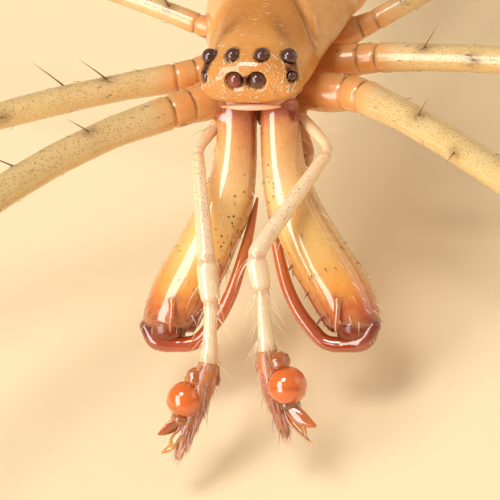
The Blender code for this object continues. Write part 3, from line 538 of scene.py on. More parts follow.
def strandTree(name, scatter):
    # scatter draws the points on the skin; without it, each vertex of the given mesh bears one strand
    tree = bpy.data.node_groups.new(name, "GeometryNodeTree")
    tree.interface.new_socket("Geometry", in_out="INPUT", socket_type="NodeSocketGeometry")
    for label, (kind, _) in strandInputs.items():
        tree.interface.new_socket(label, in_out="INPUT", socket_type="NodeSocket" + kind)
    tree.interface.new_socket("Geometry", in_out="OUTPUT", socket_type="NodeSocketGeometry")
    given = addNode(tree, "NodeGroupInput").outputs

    def maths(operation, first, second):
        return addNode(tree, "ShaderNodeMath", {0: first, 1: second}, operation=operation).outputs[0]

    def vectors(operation, inputs):
        return addNode(tree, "ShaderNodeVectorMath", inputs, operation=operation).outputs[0]

    def scaled(vector, factor):
        return vectors("SCALE", {0: vector, "Scale": factor})

    def summed(first, second):
        return vectors("ADD", {0: first, 1: second})

    def geometry(kind, inputs, **settings):
        return addNode(tree, "GeometryNode" + kind, inputs, **settings).outputs[0]

    def named(label, kind):
        return geometry("InputNamedAttribute", {"Name": label}, data_type=kind)

    def stored(label, mesh, values):
        inputs = {"Name": label, "Geometry": mesh, "Value": values}
        return geometry("StoreNamedAttribute", inputs, data_type="FLOAT2", domain="CORNER")

    def randomly(low, high, offset):
        inputs = {2: low, 3: high, "Seed": maths("ADD", given["Seed"], offset)}
        return addNode(tree, "FunctionNodeRandomValue", inputs, data_type="FLOAT").outputs[1]

    cone = addNode(tree, "GeometryNodeMeshCone", {
        "Vertices": strandSides, "Side Segments": strandSteps, "Radius Top": 0.0, "Depth": 1.0,
        "Radius Bottom": maths("DIVIDE", given["Thickness"], given["Length"]),
    })
    height = addNode(tree, "ShaderNodeSeparateXYZ", {0: geometry("InputPosition", {})}).outputs[2]
    bend = maths("MULTIPLY", maths("MULTIPLY", height, height), given["Curl"])
    strand = geometry("SetPosition", {
        "Geometry": stored("strandUV", cone.outputs["Mesh"], cone.outputs["UV Map"]),
        "Offset": addNode(tree, "ShaderNodeCombineXYZ", {0: bend}).outputs[0],
    })
    lie = named("lie", "FLOAT_VECTOR")
    if scatter:
        spread = addNode(tree, "GeometryNodeDistributePointsOnFaces", {
            "Mesh": given["Geometry"], "Seed": given["Seed"],
            "Density": maths("MULTIPLY", given["Density"], named("coat", "FLOAT")),
        })
        points, outward = spread.outputs["Points"], spread.outputs["Normal"]
        size = randomly(maths("SUBTRACT", 1.0, given["Spread"]), maths("ADD", 1.0, given["Spread"]), 7)
        lean = maths("MULTIPLY", given["Lean"], randomly(0.75, 1.2, 13))
    else:
        points, outward = given["Geometry"], named("aim", "FLOAT_VECTOR")
        size, lean = named("size", "FLOAT"), given["Lean"]
    way = summed(scaled(outward, maths("SUBTRACT", 1.0, lean)), scaled(lie, lean))
    aim = vectors("NORMALIZE", {0: way})
    length = maths("MULTIPLY", size, given["Length"])
    depth = maths("MULTIPLY", maths("MULTIPLY", length, given["Sunk"]), -1.0)
    turn = addNode(tree, "FunctionNodeAxesToRotation", {0: aim, 1: lie}, primary_axis="Z", secondary_axis="X")
    roots = geometry("SetPosition", {"Geometry": points, "Offset": scaled(aim, depth)})
    inputs = {"Points": roots, "Instance": strand, "Rotation": turn.outputs[0], "Scale": length}
    real = geometry("RealizeInstances", {0: geometry("InstanceOnPoints", inputs)})
    patch = scaled(summed(named("strandUV", "FLOAT_VECTOR"), (-0.5, -0.5, 0.0)), given["Patch"])
    real = stored("OFBake", real, summed(named("SkinUV", "FLOAT_VECTOR"), patch))
    for label in ("strandUV", "SkinUV", "lie", "aim", "size", *paintKeys):
        real = geometry("RemoveAttribute", {"Name": label, "Geometry": real})
    smooth = geometry("SetShadeSmooth", {"Geometry": real})
    paint = geometry("SetMaterial", {"Geometry": smooth, "Material": given["Material"]})
    tree.links.new(paint, addNode(tree, "NodeGroupOutput").inputs[0])
    return tree


scatterTree = strandTree("Setae over a skin", True)
plantTree = strandTree("Spines at given roots", False)


def hairLook(seed, density, length, thickness, spread, lean, curl, material):
    # density per square millimetre, sizes in millimetres, spread and lean as shares
    return {
        "seed": seed, "density": density, "length": length, "thickness": thickness,
        "spread": spread, "lean": lean, "curl": curl, "material": material,
    }


def growStrands(name, mesh, tree, look):
    carrier = addObject(name, mesh)
    step = carrier.modifiers.new("strands", "NODES")
    step.node_group = tree
    for item in tree.interface.items_tree:
        if item.in_out == "INPUT" and item.name in strandInputs:
            value = look.get(item.name.lower(), strandInputs[item.name][1])
            step[item.identifier] = value * strandUnits[item.name] if item.name in strandUnits else value
    bpy.context.view_layer.update()
    grown = bpy.data.meshes.new_from_object(carrier.evaluated_get(bpy.context.evaluated_depsgraph_get()))
    carrier.modifiers.clear()
    carrier.data = grown
    grown.materials.clear()
    grown.materials.append(look["material"])
    finishPiece(carrier)


def growHairs(name, skin, look, sign=0, coat=None):
    # over a skin, where its coat values or the given ones allow; each side has its own seed
    mesh = skin.data.copy()
    if coat is not None:
        mesh.attributes["coat"].data.foreach_set("value", np.clip(coat, 0, 1).astype(np.float32))
    growStrands(name, mesh, scatterTree, {**look, "seed": look["seed"] + int(sign)})


def plantStrands(name, roots, look, place):
    # roots: (point, aim, lie, size, uv) each, in millimetres
    mesh = bpy.data.meshes.new(name + "_roots")
    points, aims, lies, sizes, uvs = (np.array(column, float) for column in zip(*roots))
    mesh.from_pydata((put(points, place) * mm).tolist(), [], [])
    storeValues(mesh, "aim", "FLOAT_VECTOR", unit(aims) @ place[0].T)
    storeValues(mesh, "lie", "FLOAT_VECTOR", unit(lies) @ place[0].T)
    storeValues(mesh, "size", "FLOAT", sizes)
    storeValues(mesh, "SkinUV", "FLOAT2", uvs)
    growStrands(name, mesh, plantTree, look)


print("strand trees made")


# Carapace: y, half width, top, margin and underside heights
carapace = {
    "rows": (
        (-0.985, 0.20, 0.18, 0.06, 0.010), (-0.955, 0.28, 0.24, 0.06, -0.02),
        (-0.88, 0.32, 0.290, 0.05, -0.06), (-0.70, 0.345, 0.325, 0.03, -0.10),
        (-0.45, 0.375, 0.335, 0.00, -0.10), (-0.20, 0.435, 0.325, -0.02, -0.10),
        (0.08, 0.490, 0.29, -0.02, -0.10), (0.35, 0.465, 0.24, -0.02, -0.10),
        (0.58, 0.330, 0.18, -0.02, -0.09), (0.74, 0.160, 0.10, -0.01, -0.06),
    ),
    "rings": 190, "sides": 150, "squareness": 0.9, "edgeRise": 0.010,
    "grooveDepth": 0.036, "grooveWidth": 0.030, "grooveSlope": 1.55, "grooveReach": 0.42, "grooveY": 0.08,
    "pitDepth": 0.045, "pitPlace": (0.06, 0.16), "pitSize": (0.05, 0.06), "furrows": 4, "furrowDepth": 0.005,
    "mound": {"rim": 1.02, "sunk": 0.80, "most": 1.2},  # under each eye, in eye radii
    "eyeAim": (0.45, -0.68, 0.08), "lensSides": 48,
    "pigment": (1.0, 1.20),  # dark out to here round each eye, in eye radii
    "lensRoom": (1.0, 1.5, 0.05),  # between these radii the skin stays low, and this far up a lens
    "sideMass": 0.045, "massLift": 0.020,  # half width and height of the dark mass between side eyes
    "bridgeLift": 0.016,  # height of the one that joins the front middle eyes
    "hairs": hairLook(11, 300, 0.038, 0.0021, 0.3, 0.76, 0.15, hairPale),
    "faceHairs": hairLook(13, 900, 0.024, 0.0030, 0.7, 0.86, 0.10, hairPale),
}


def eyeAt(name, sign):
    x, y, z, _ = eyePlaces[name]
    return np.array((sign * x, y, z))


def eyesRound():  # name, side, middle, the way it looks, and radius of each eye
    found = []
    for name, (x, _, _, radius) in eyePlaces.items():
        for side, sign in sides.items():
            away = np.array((sign * x * carapace["eyeAim"][0], *carapace["eyeAim"][1:]))
            found.append((name, side, eyeAt(name, sign), unit(eyeAt(name, sign) - away), radius))
    return found


def lineDistance(points, start, end):
    way = end - start
    share = np.clip((points - start) @ way / (way @ way), 0, 1)
    return np.linalg.norm(points - start - share[:, None] * way, axis=1)


def seatEyes(form):
    # Mounds under the eyes, with dark pigment round them; gives it, and how near the side eyes' mass is
    look, mound = carapace, carapace["mound"]
    points, normals = form["points"], normalsOf(form)
    lift, pigment = np.zeros(len(points)), np.zeros(len(points))
    for _, _, centre, outward, radius in eyesRound():
        toMiddle = centre - outward * radius * mound["sunk"] - points
        along = np.einsum("ij,ij->i", toMiddle, normals)
        room = (radius * mound["rim"]) ** 2 - np.einsum("ij,ij->i", toMiddle, toMiddle) + along**2
        rise = np.where(room > 0, along + np.sqrt(np.maximum(room, 0)), 0.0)
        lift = np.maximum(lift, np.clip(rise, 0, radius * mound["most"]))
        away = np.linalg.norm(points - centre, axis=1) / radius
        pigment = np.maximum(pigment, 1 - ease(*look["pigment"], away))
    pairs = [lineDistance(points, eyeAt("front_side", s), eyeAt("rear_side", s)) for s in sides.values()]
    mass = np.min(pairs, axis=0) / look["sideMass"]
    bridge = lineDistance(points, *(eyeAt("front_middle", s) for s in sides.values()))
    lift = np.maximum(lift, look["massLift"] * (1 - ease(0.5, 1.4, mass)))
    lift = np.maximum(lift, look["bridgeLift"] * (1 - ease(0.02, 0.06, bridge)))
    pigment = np.maximum.reduce((pigment, 1 - ease(1.0, 1.3, mass), 1 - ease(0.040, 0.056, bridge)))
    points = points + normals * lift[:, None]
    inner, outer, low = look["lensRoom"]
    for _, _, centre, outward, radius in eyesRound():
        above = (points - centre) @ outward / radius
        wide = np.linalg.norm(points - centre - np.outer(above * radius, outward), axis=1) / radius
        room = 3 * ease(inner, outer, wide) + low
        over = np.where((wide < outer) & (np.abs(above) < 2), np.maximum(above - room, 0), 0)
        points = points - np.outer(over * radius, outward)
    form["points"] = points
    return pigment, mass


def makeCarapace():
    look = carapace
    y, halfWidth, top, margin, below = smoothRows(look["rows"], look["rings"]).T
    rows = np.column_stack((y, halfWidth, margin, top - margin, margin - below))
    form = bodyForm(rows, look["sides"], (0.02, 0.03), look["squareness"])
    x, y, z = form["points"].T
    upper = ease(0.02, 0.12, z)
    behind = y + np.abs(x) * look["grooveSlope"] - look["grooveY"]  # how far past the V groove's arms
    offArm = np.abs(behind) / math.hypot(1, look["grooveSlope"])
    arms = (1 - ease(look["grooveReach"] * 0.8, look["grooveReach"] * 1.1, np.abs(x))) * upper
    back = y - look["pitPlace"][1]
    offPit = ((np.abs(x) - look["pitPlace"][0]) / look["pitSize"][0]) ** 2 + (back / look["pitSize"][1]) ** 2
    out = np.hypot(x, back)
    fans = np.cos(np.arctan2(np.abs(x), back) * 2 * look["furrows"]) ** 8 * ease(-0.10, 0.05, behind) * upper
    fans = fans * ease(0.08, 0.2, out) * (1 - ease(0.34, 0.48, out))
    groove = look["grooveDepth"] * bell(offArm, look["grooveWidth"]) * arms
    dip = np.maximum(groove, look["pitDepth"] * np.exp(-offPit) * upper)
    raisedEdge = look["edgeRise"] * bell(z, 0.022) * ease(-0.9, -0.6, y)
    raiseForm(form, raisedEdge - dip - look["furrowDepth"] * fans)
    pigment, mass = seatEyes(form)

    inV = 1 - ease(-0.05, 0.04, behind)
    front, face = 1 - ease(-0.92, -0.70, y), 1 - ease(-0.86, -0.74, y)
    tone = 0.10 + 0.16 * inV + 0.34 * inV * ease(-0.72, -0.52, y) + 0.25 * bell(offArm, 0.05) * arms
    form["tone"] = np.clip(tone + 0.24 * front * (1 - 0.6 * bell(z - 0.17, 0.06)), 0, 1)
    dusky = 0.55 * bell(np.abs(x) - 0.19 + (y + 0.62) * 0.5, 0.055) * bell(y + 0.60, 0.12)
    dusky = dusky + 0.42 * bell(offArm, 0.012) * arms + 0.55 * bell(offPit, 0.8) + 0.28 * fans
    dusky = dusky + 0.35 * bell(z + 0.02, 0.04) * ease(-0.7, -0.4, y)
    form["stain"] = np.clip(np.maximum(dusky * 0.8, pigment * 1.6), 0, 1)
    # the pale dots placed here on the face and the flanks are painted glints; the same share sets the pebble
    # bumps
    flankGlint = 0.35 * ease(-0.75, -0.55, y) * ease(0.0, 0.1, z)
    form["freckle"] = face * ease(0.0, 0.1, z) * (1 - 0.6 * bell(x, 0.05)) + flankGlint
    form["coat"] = ease(0.0, 0.06, z) * (1 - pigment) * (0.10 + 0.9 * face)
    middles = [eyeAt("front_middle", s) for s in sides.values()]
    radius = eyePlaces["front_middle"][3]
    off = np.min([np.linalg.norm(form["points"] - middle, axis=1) for middle in middles], axis=0) / radius
    nearEye = np.array(middles)[(x > 0).astype(int)]
    form["lie"] = np.cross(normalsOf(form), form["points"] - nearEye) * np.sign(x)[:, None] + (0.0, 0.0, 0.02)
    form["lie"] = unit(form["lie"])
    skin = makePiece("carapaceSkin", form, headFrame, shells["carapace"], ("carapace",))
    growHairs("carapaceHairs", skin, look["hairs"])
    rings = np.maximum(bell(off - 1.9, 0.45) * (off > 1.35), bell(mass - 1.9, 0.6) * (mass > 1.25))
    growHairs("faceHairs", skin, look["faceHairs"], coat=rings * (1 - pigment) * (y < -0.7))


def makeEyes():
    for name, side, centre, outward, radius in eyesRound():
        form = ballForm(centre, (radius, radius, radius), outward, carapace["lensSides"])
        form["tone"] = ease(0.1, 0.95, unit(form["points"] - centre) @ outward)
        # the right front middle lens gets the redder copy: painted glow
        litRed = name == "front_middle" and side == "right"
        lens = eyeLitRed if litRed else eyeDark
        makePiece(f"lens_{name}_{side}", form, headFrame, lens, (f"eye_{name}_{side}",))


makeCarapace()
makeEyes()
print("carapace and eyes made")


# Jaws: both lean forward and down from under the face, then part
jaws = {
    "slope": 55.0, "root": (0.0, -0.86, -0.15), "length": 1.44,
    "rows": (  # along, sideways, forward bow, half width, half depth
        (-0.06, 0.146, -0.045, 0.120, 0.110), (0.10, 0.142, -0.050, 0.127, 0.130),
        (0.38, 0.165, -0.055, 0.143, 0.145), (0.57, 0.210, -0.050, 0.166, 0.160),
        (0.76, 0.293, -0.050, 0.180, 0.174), (0.95, 0.390, -0.058, 0.197, 0.185),
        (1.13, 0.502, -0.075, 0.198, 0.182), (1.28, 0.577, -0.080, 0.190, 0.170),
        (1.38, 0.618, -0.070, 0.170, 0.152), (1.425, 0.620, -0.055, 0.120, 0.110),
    ),
    "rings": 150, "sides": 72, "reaches": (0.03, 0.085), "capSteps": 10,
    "groove": 0.022, "lip": 0.006, "knob": 0.034, "swell": 0.012,
    "teeth": (  # degrees forward of the inner side; place along and length of each
        (38.0, ((0.86, 0.050), (0.97, 0.115), (1.06, 0.050), (1.14, 0.100), (1.30, 0.140))),
        (-38.0, ((0.80, 0.035), (0.90, 0.045), (1.00, 0.040), (1.11, 0.050), (1.22, 0.055))),
    ),
    "toothLean": 0.85, "toothRoot": 0.92,
    "tooth": {"thickness": 0.15, "curl": 0.15, "sunk": 0.1, "material": toothHorn},
    "spur": {
        "at": 1.22, "root": 0.86, "length": 0.22, "radius": 0.030, "way": (0.86, 0.48), "bend": 0.03,
        "taper": ((0, 0.15, 0.75, 0.93, 1), (1.25, 0.85, 0.55, 0.42, 0.2)), "rings": 26, "sides": 22,
    },
    "paleHairs": hairLook(21, 230, 0.08, 0.0028, 0.45, 0.46, 0.30, hairPale),
    "darkHairs": hairLook(31, 130, 0.036, 0.0030, 0.45, 0.42, 0.40, hairDark),
}
fangs = {
    "rows": (  # along the jaw, sideways, forward, radius
        (1.389, 0.752, -0.030, 0.046), (1.480, 0.688, -0.035, 0.057), (1.507, 0.543, -0.045, 0.053),
        (1.487, 0.422, -0.050, 0.049), (1.402, 0.336, -0.050, 0.047), (1.305, 0.260, -0.050, 0.045),
        (1.187, 0.198, -0.050, 0.043), (1.054, 0.150, -0.060, 0.040), (0.858, 0.098, -0.095, 0.034),
        (0.696, 0.064, -0.125, 0.024), (0.574, 0.036, -0.135, 0.009),
    ),
    "rings": 130, "sides": 32, "reaches": (0.045, 0.012), "capSteps": 8,
    "lip": 0.004, "neck": 0.003,  # a raised ring near the root, and a narrow place past it
}
jawAlong = np.array((0.0, -math.cos(math.radians(jaws["slope"])), -math.sin(math.radians(jaws["slope"]))))
jawForward = np.array((0.0, jawAlong[2], -jawAlong[1]))


def jawPoint(along, sideways, bow, sign):
    return np.array(jaws["root"]) + jawAlong * along + jawForward * bow + np.array((sign * sideways, 0, 0))


def jawRow(at):  # sideways, bow, half width and half depth there
    places, *columns = np.array(jaws["rows"]).T
    return [np.interp(at, places, column) for column in columns]


def jawSkinPoint(at, inwards, forwards, sign, sunk):
    sideways, bow, halfWidth, halfDepth = jawRow(at)
    reach = np.array((-sign, 0.0, 0.0)) * halfWidth * inwards + jawForward * halfDepth * forwards
    return jawPoint(at, sideways, bow, sign) + reach * sunk


def makeJaw(side, sign):
    look = jaws
    rows = smoothRows(look["rows"], look["rings"])
    path = np.array([jawPoint(*row[:3], sign) for row in rows])
    form = tubeForm(path, *rows.T[3:], look["sides"], jawForward, look["reaches"], look["capSteps"])
    local = form["points"] - np.array(look["root"])
    at = local @ jawAlong
    sideways, bow, halfWidth, halfDepth = jawRow(at)
    inwards = -(local[:, 0] * sign - sideways) / halfWidth
    forwards = (local @ jawForward - bow) / halfDepth
    groove = bell(forwards, 0.30) * ease(0.55, 0.95, inwards) * ease(0.72, 0.95, at)
    lip = bell(at - 1.37, 0.03)
    knob = bell(at - 0.045, 0.040) * bell(inwards + 0.80, 0.30) * bell(forwards - 0.50, 0.45)
    swell = bell(at - 1.25, 0.10) * bell(inwards - 0.85, 0.4) * bell(forwards - 0.35, 0.5)
    raiseForm(form, look["lip"] * lip - look["groove"] * groove + look["knob"] * knob + look["swell"] * swell)
    tone = at / look["length"] + 0.06 * ease(0.2, 1.0, inwards) * (at > 0.3) - 0.03 * inwards
    form["tone"] = np.clip(tone, 0, 1)
    # painted shade: both side edges of the jaw are darkened, most near its root; the other marks below are
    # the jaw's own dark colour
    edgeShade = ease(0.62, 1.0, np.abs(inwards)) * (0.304 + 0.20 * bell(at - 0.1, 0.2))
    rootEdge = 0.60 * bell(at + 0.02, 0.06) + 1.3 * knob
    socket = 0.9 * ease(1.34, 1.42, at) + 0.45 * bell(at - 1.24, 0.12) * ease(0.3, 0.9, inwards)
    spurFoot = 0.7 * bell(at - look["spur"]["at"], 0.05) * bell(inwards, 0.3) * ease(0.4, 0.8, forwards)
    form["stain"] = np.clip(np.maximum.reduce((edgeShade, rootEdge, socket, spurFoot)), 0, 0.95)
    form["freckle"] = ease(0.0, 0.6, inwards) * ease(0.15, 0.35, at) * (1 - ease(0.9, 1.1, at)) * 0.9 + 0.1
    outerEnd = ease(1.0, 1.32, at) * ease(-0.1, 0.6, -inwards)
    form["coat"] = np.clip(0.12 + outerEnd, 0, 1) * ease(0.0, 0.15, at)
    skin = makePiece(f"jawSkin_{side}", form, headFrame, shells["jaw"], (f"chelicera_{side}",))
    growHairs(f"jawPaleHairs_{side}", skin, look["paleHairs"], sign)
    inner = ease(0.25, 0.7, inwards) * ease(0.3, 0.5, at) * ease(-0.6, 0.1, forwards)
    growHairs(f"jawDarkHairs_{side}", skin, look["darkHairs"], sign, inner + 0.10 * ease(0.4, 0.8, at))


def makeTeeth(side, sign):
    roots = []
    for turn, row in jaws["teeth"]:
        inwards, forwards = math.cos(math.radians(turn)), math.sin(math.radians(turn))
        out = np.array((-sign * inwards, 0.0, 0.0)) + jawForward * forwards + jawAlong * jaws["toothLean"]
        for at, length in row:
            root = jawSkinPoint(at, inwards, forwards, sign, jaws["toothRoot"])
            roots.append((root, out, jawAlong, length, (0.5, at / jaws["length"])))
    plantStrands(f"jawTeeth_{side}", roots, jaws["tooth"], headFrame)
    spur = jaws["spur"]
    way = unit(jawAlong * spur["way"][0] + jawForward * spur["way"][1])
    shares = np.linspace(0, 1, spur["rings"])
    path = jawSkinPoint(spur["at"], 0, 1, sign, spur["root"]) + np.outer(shares * spur["length"], way)
    path = path - np.outer(spur["bend"] * shares**2, jawForward)
    thick = spur["radius"] * np.interp(shares, *spur["taper"])
    form = tubeForm(path, thick, thick * 1.1, spur["sides"], jawForward, (0.01, 0.008))
    form["tone"] = 0.86 + 0.10 * form["along"]
    form["stain"] = 0.25 + 0.30 * ease(0.7, 1.0, form["along"])
    makePiece(f"jawSpur_{side}", form, headFrame, shells["jaw"])


def makeFang(side, sign):
    rows = smoothRows(fangs["rows"], fangs["rings"])
    path = np.array([jawPoint(*row[:3], sign) for row in rows])
    wide = rows[:, 3]
    form = tubeForm(path, wide, wide * 1.05, fangs["sides"], jawForward, fangs["reaches"], fangs["capSteps"])
    along = form["along"]
    raiseForm(form, fangs["lip"] * bell(along - 0.12, 0.05) - fangs["neck"] * bell(along - 0.20, 0.03))
    form["tone"], form["stain"] = along, 0.6 * (1 - ease(0.02, 0.12, along))
    makePiece(f"fangHorn_{side}", form, headFrame, shells["fang"], (f"fang_{side}",))


for side, sign in sides.items():
    makeJaw(side, sign)
    makeTeeth(side, sign)
    makeFang(side, sign)
print("jaws, teeth and fangs made")


# Palps: points of the joints in the head's frame
palps = {
    "joints": {
        "right": (
            (-0.265, -0.775, -0.27), (-0.376, -1.066, -0.307), (-0.244, -1.713, -0.683),
            (-0.203, -1.924, -0.908), (-0.223, -2.132, -1.224), (-0.430, -2.486, -1.703),
        ),
        "left": (
            (0.265, -0.775, -0.27), (0.484, -1.008, -0.351), (0.092, -1.740, -0.638),
            (0.138, -1.887, -0.832), (0.162, -2.090, -1.160), (0.261, -2.340, -1.640),
        ),
    },
    "stations": (  # the stretch it lies on, the share along it, and the radius
        (0, 0.0, 0.036), (0, 0.5, 0.040), (0, 0.9, 0.034), (1, 0.03, 0.036), (1, 0.12, 0.042),
        (1, 0.4, 0.048), (1, 0.7, 0.054), (1, 0.95, 0.056), (2, 0.08, 0.060), (2, 0.35, 0.070),
        (2, 0.7, 0.068), (2, 0.97, 0.052), (3, 0.08, 0.044), (3, 0.45, 0.042), (3, 0.8, 0.054),
        (3, 0.97, 0.062),
    ),
    "up": (0.0, 0.35, 1.0), "sides": 40, "reaches": (0.02, 0.03),
    "steps": (0.008, 0.02, 0.03),  # near a joint, far from one, and how far the joints are rounded off
    "waist": 0.12, "swell": 0.03,  # how much thinner a joint is, and how much fuller the skin beside it
    "hairs": hairLook(41, 240, 0.17, 0.0026, 0.5, 0.55, 0.25, hairPale),
}
cymbium = {
    "rows": ((0.0, 0.80), (0.12, 0.95), (0.35, 1.0), (0.6, 0.85), (0.82, 0.6), (0.97, 0.3)),  # along, radius
    "radius": 0.086, "flat": 0.92, "rings": 70, "sides": 44, "reaches": (0.02, 0.04), "capSteps": 7,
    "bulbAt": 0.42, "bulbOffset": {"right": 0.075, "left": 0.105}, "hollow": 0.09, "ridges": 7,
    "roseHairs": hairLook(51, 1300, 0.070, 0.0028, 0.4, 0.87, 0.12, hairRose),
    "bristles": hairLook(55, 110, 0.12, 0.0020, 0.4, 0.55, 0.2, hairDark),
    "finger": {
        "length": 0.085, "bend": 0.03, "radii": ((0, 0.4, 0.85, 1), (0.024, 0.019, 0.021, 0.012)),
        "rings": 22, "sides": 18,
    },
}
bulb = {
    "radius": 0.118, "sides": 64, "lobeSides": 44, "bladeRings": 64, "bladeSides": 24,
    "size": {"right": 1.0, "left": 1.07}, "seamDepth": 0.004, "seamLip": 0.003, "bumps": 0.005,
    "flare": {"right": 0.08, "left": 0.36},  # how far the tips turn out
    "lobes": (  # along, outward and aside from the bulb's middle, three radii, tone, stain
        (-0.150, -0.02, 0.0, 0.066, 0.074, 0.070, 0.62, 0.45),
        (0.115, -0.015, 0.0, 0.066, 0.082, 0.050, 0.74, 0.75),
    ),
    "blades": (  # twist, tones of root and tip, stain; rows: along, outward, aside, half width and depth
        (0.6, (0.74, 0.60), 0.7, (
            (0.100, -0.040, 0.01, 0.030, 0.024), (0.150, -0.015, 0.02, 0.044, 0.028),
            (0.200, 0.020, 0.02, 0.046, 0.022), (0.240, 0.055, 0.01, 0.028, 0.014),
            (0.262, 0.080, 0.00, 0.010, 0.006),
        )),
        (-0.8, (0.82, 1.0), 0.3, (
            (0.140, -0.055, -0.01, 0.032, 0.028), (0.205, -0.055, -0.02, 0.042, 0.024),
            (0.270, -0.030, -0.01, 0.034, 0.016), (0.325, -0.030, 0.01, 0.022, 0.011),
            (0.375, 0.005, 0.02, 0.008, 0.005),
        )),
        (0.2, (0.72, 0.78), 0.5, (
            (0.120, -0.05, 0.03, 0.014, 0.012), (0.200, -0.060, 0.045, 0.012, 0.010),
            (0.290, -0.035, 0.03, 0.008, 0.007), (0.350, 0.000, 0.02, 0.003, 0.003),
        )),
    ),
}


def resampled(path, radii, corners, fine, coarse, blur):
    # Stations along a path, closer near its corners, with the corners rounded off
    path, radii = np.asarray(path, float), np.asarray(radii, float)
    at = np.r_[0, np.cumsum(np.linalg.norm(np.diff(path, axis=0), axis=1))]
    step = blur / 3
    dense = np.arange(0, at[-1] + step, step)
    cornerAt = np.array([at[np.argmin(np.linalg.norm(path - c, axis=1))] for c in corners])
    kernel = bell(np.arange(-9, 10) / 3.0, 1.4)
    kernel = kernel / kernel.sum()
    curves = []
    for values in (*path.T, radii):
        line = np.interp(dense, at, values)
        padded = np.r_[2 * line[0] - line[9:0:-1], line, 2 * line[-1] - line[-2:-11:-1]]
        curves.append(np.convolve(padded, kernel, "valid"))
    stations = [0.0]
    while stations[-1] < at[-1]:
        near = np.abs(cornerAt - stations[-1]).min()
        stations.append(stations[-1] + fine + (coarse - fine) * min(near / (coarse * 3), 1.0))
    stations = np.array(stations[:-1] + [at[-1]])
    *path, radii = [np.interp(stations, dense, curve) for curve in curves]
    near = np.min([np.abs(stations - c) for c in cornerAt], axis=0)
    return np.stack(path, axis=1), radii, stations, cornerAt, near


def makePalp(side, sign):
    joints = np.array(palps["joints"][side])
    path = [joints[k] + (joints[k + 1] - joints[k]) * share for k, share, _ in palps["stations"]]
    radii = [radius for *_, radius in palps["stations"]]
    path, radii, _, _, near = resampled(path, radii, joints[1:4], *palps["steps"])
    radii = radii * (1 - palps["waist"] * bell(near, 0.014)) * (1 + palps["swell"] * bell(near - 0.035, 0.02))
    form = tubeForm(path, radii, radii, palps["sides"], palps["up"], palps["reaches"])
    along, away = form["along"], near[form["row"]]
    form["tone"] = np.clip(0.10 + 0.55 * along + 0.5 * bell(away, 0.02) + 0.35 * ease(0.93, 1.0, along), 0, 1)
    form["stain"] = 0.45 * bell(away - 0.02, 0.010)
    form["freckle"] = ease(0.18, 0.25, along) * (1 - ease(0.50, 0.62, along)) * 0.9
    form["coat"] = 0.10 + 0.9 * ease(0.62, 0.80, along)
    nodes = (f"palp_{side}_femur", f"palp_{side}_tibia")
    skin = makePiece(f"palpSkin_{side}", form, headFrame, shells["palp"], nodes)
    growHairs(f"palpHairs_{side}", skin, palps["hairs"], sign)
    makeCymbium(side, sign, *joints[4:])


def makeCymbium(side, sign, root, tip):
    look, finger = cymbium, cymbium["finger"]
    reach = tip - root
    way = unit(reach)
    out = np.array((sign, 0.0, 0.0)) + jawForward * 0.45
    out = unit(out - way * (out @ way))
    across = np.cross(way, out)
    heart = root + reach * look["bulbAt"] + out * look["bulbOffset"][side]
    shares, thick = smoothRows(look["rows"], look["rings"]).T
    path, wide = root + np.outer(shares, reach), thick * look["radius"]
    deep = wide * look["flat"]
    form = tubeForm(path, wide, deep, look["sides"], palps["up"], look["reaches"], look["capSteps"])
    # The side that faces the bulb is hollowed, so that the bulb lies in it
    inside = np.maximum(bulb["radius"] * 1.02 - np.linalg.norm(form["points"] - heart, axis=1), 0)
    form["points"] = form["points"] - np.outer(np.minimum(inside, look["hollow"]), out)
    along = form["along"]
    ridges = np.cos(form["around"] * 2 * math.pi * look["ridges"]) ** 6 * ease(0.1, 0.4, along)
    awaySide = ease(0.2, 0.8, unit(form["points"] - root) @ -out + 0.35)
    form["tone"], form["coat"] = along, 1.0
    form["stain"] = np.clip(0.30 * ridges + 0.75 * bell(along - 0.66, 0.06) * awaySide, 0, 1)
    nodes = (f"palp_{side}_cymbium",)
    skin = makePiece(f"cymbiumSkin_{side}", form, headFrame, shells["cymbium"], nodes)
    growHairs(f"cymbiumHairs_{side}", skin, look["roseHairs"], sign)
    growHairs(f"cymbiumBristles_{side}", skin, look["bristles"], sign)

    # A short side finger at the cymbium's root
    fingerWay = unit(-out * 0.50 + way * 0.75 + across * 0.15)
    steps = np.linspace(0, 1, finger["rings"])
    path = root + way * 0.010 - out * 0.050 + np.outer(steps * finger["length"], fingerWay)
    path = path + np.outer(finger["bend"] * steps**2, way)
    thick = np.interp(steps, *finger["radii"])
    form = tubeForm(path, thick, thick, finger["sides"], palps["up"], (0.01, 0.012))
    form["tone"], form["stain"] = 0.3, 0.4 * form["along"]
    makePiece(f"cymbiumFinger_{side}", form, headFrame, shells["cymbium"])
    makeBulb(side, heart, way, out, across)


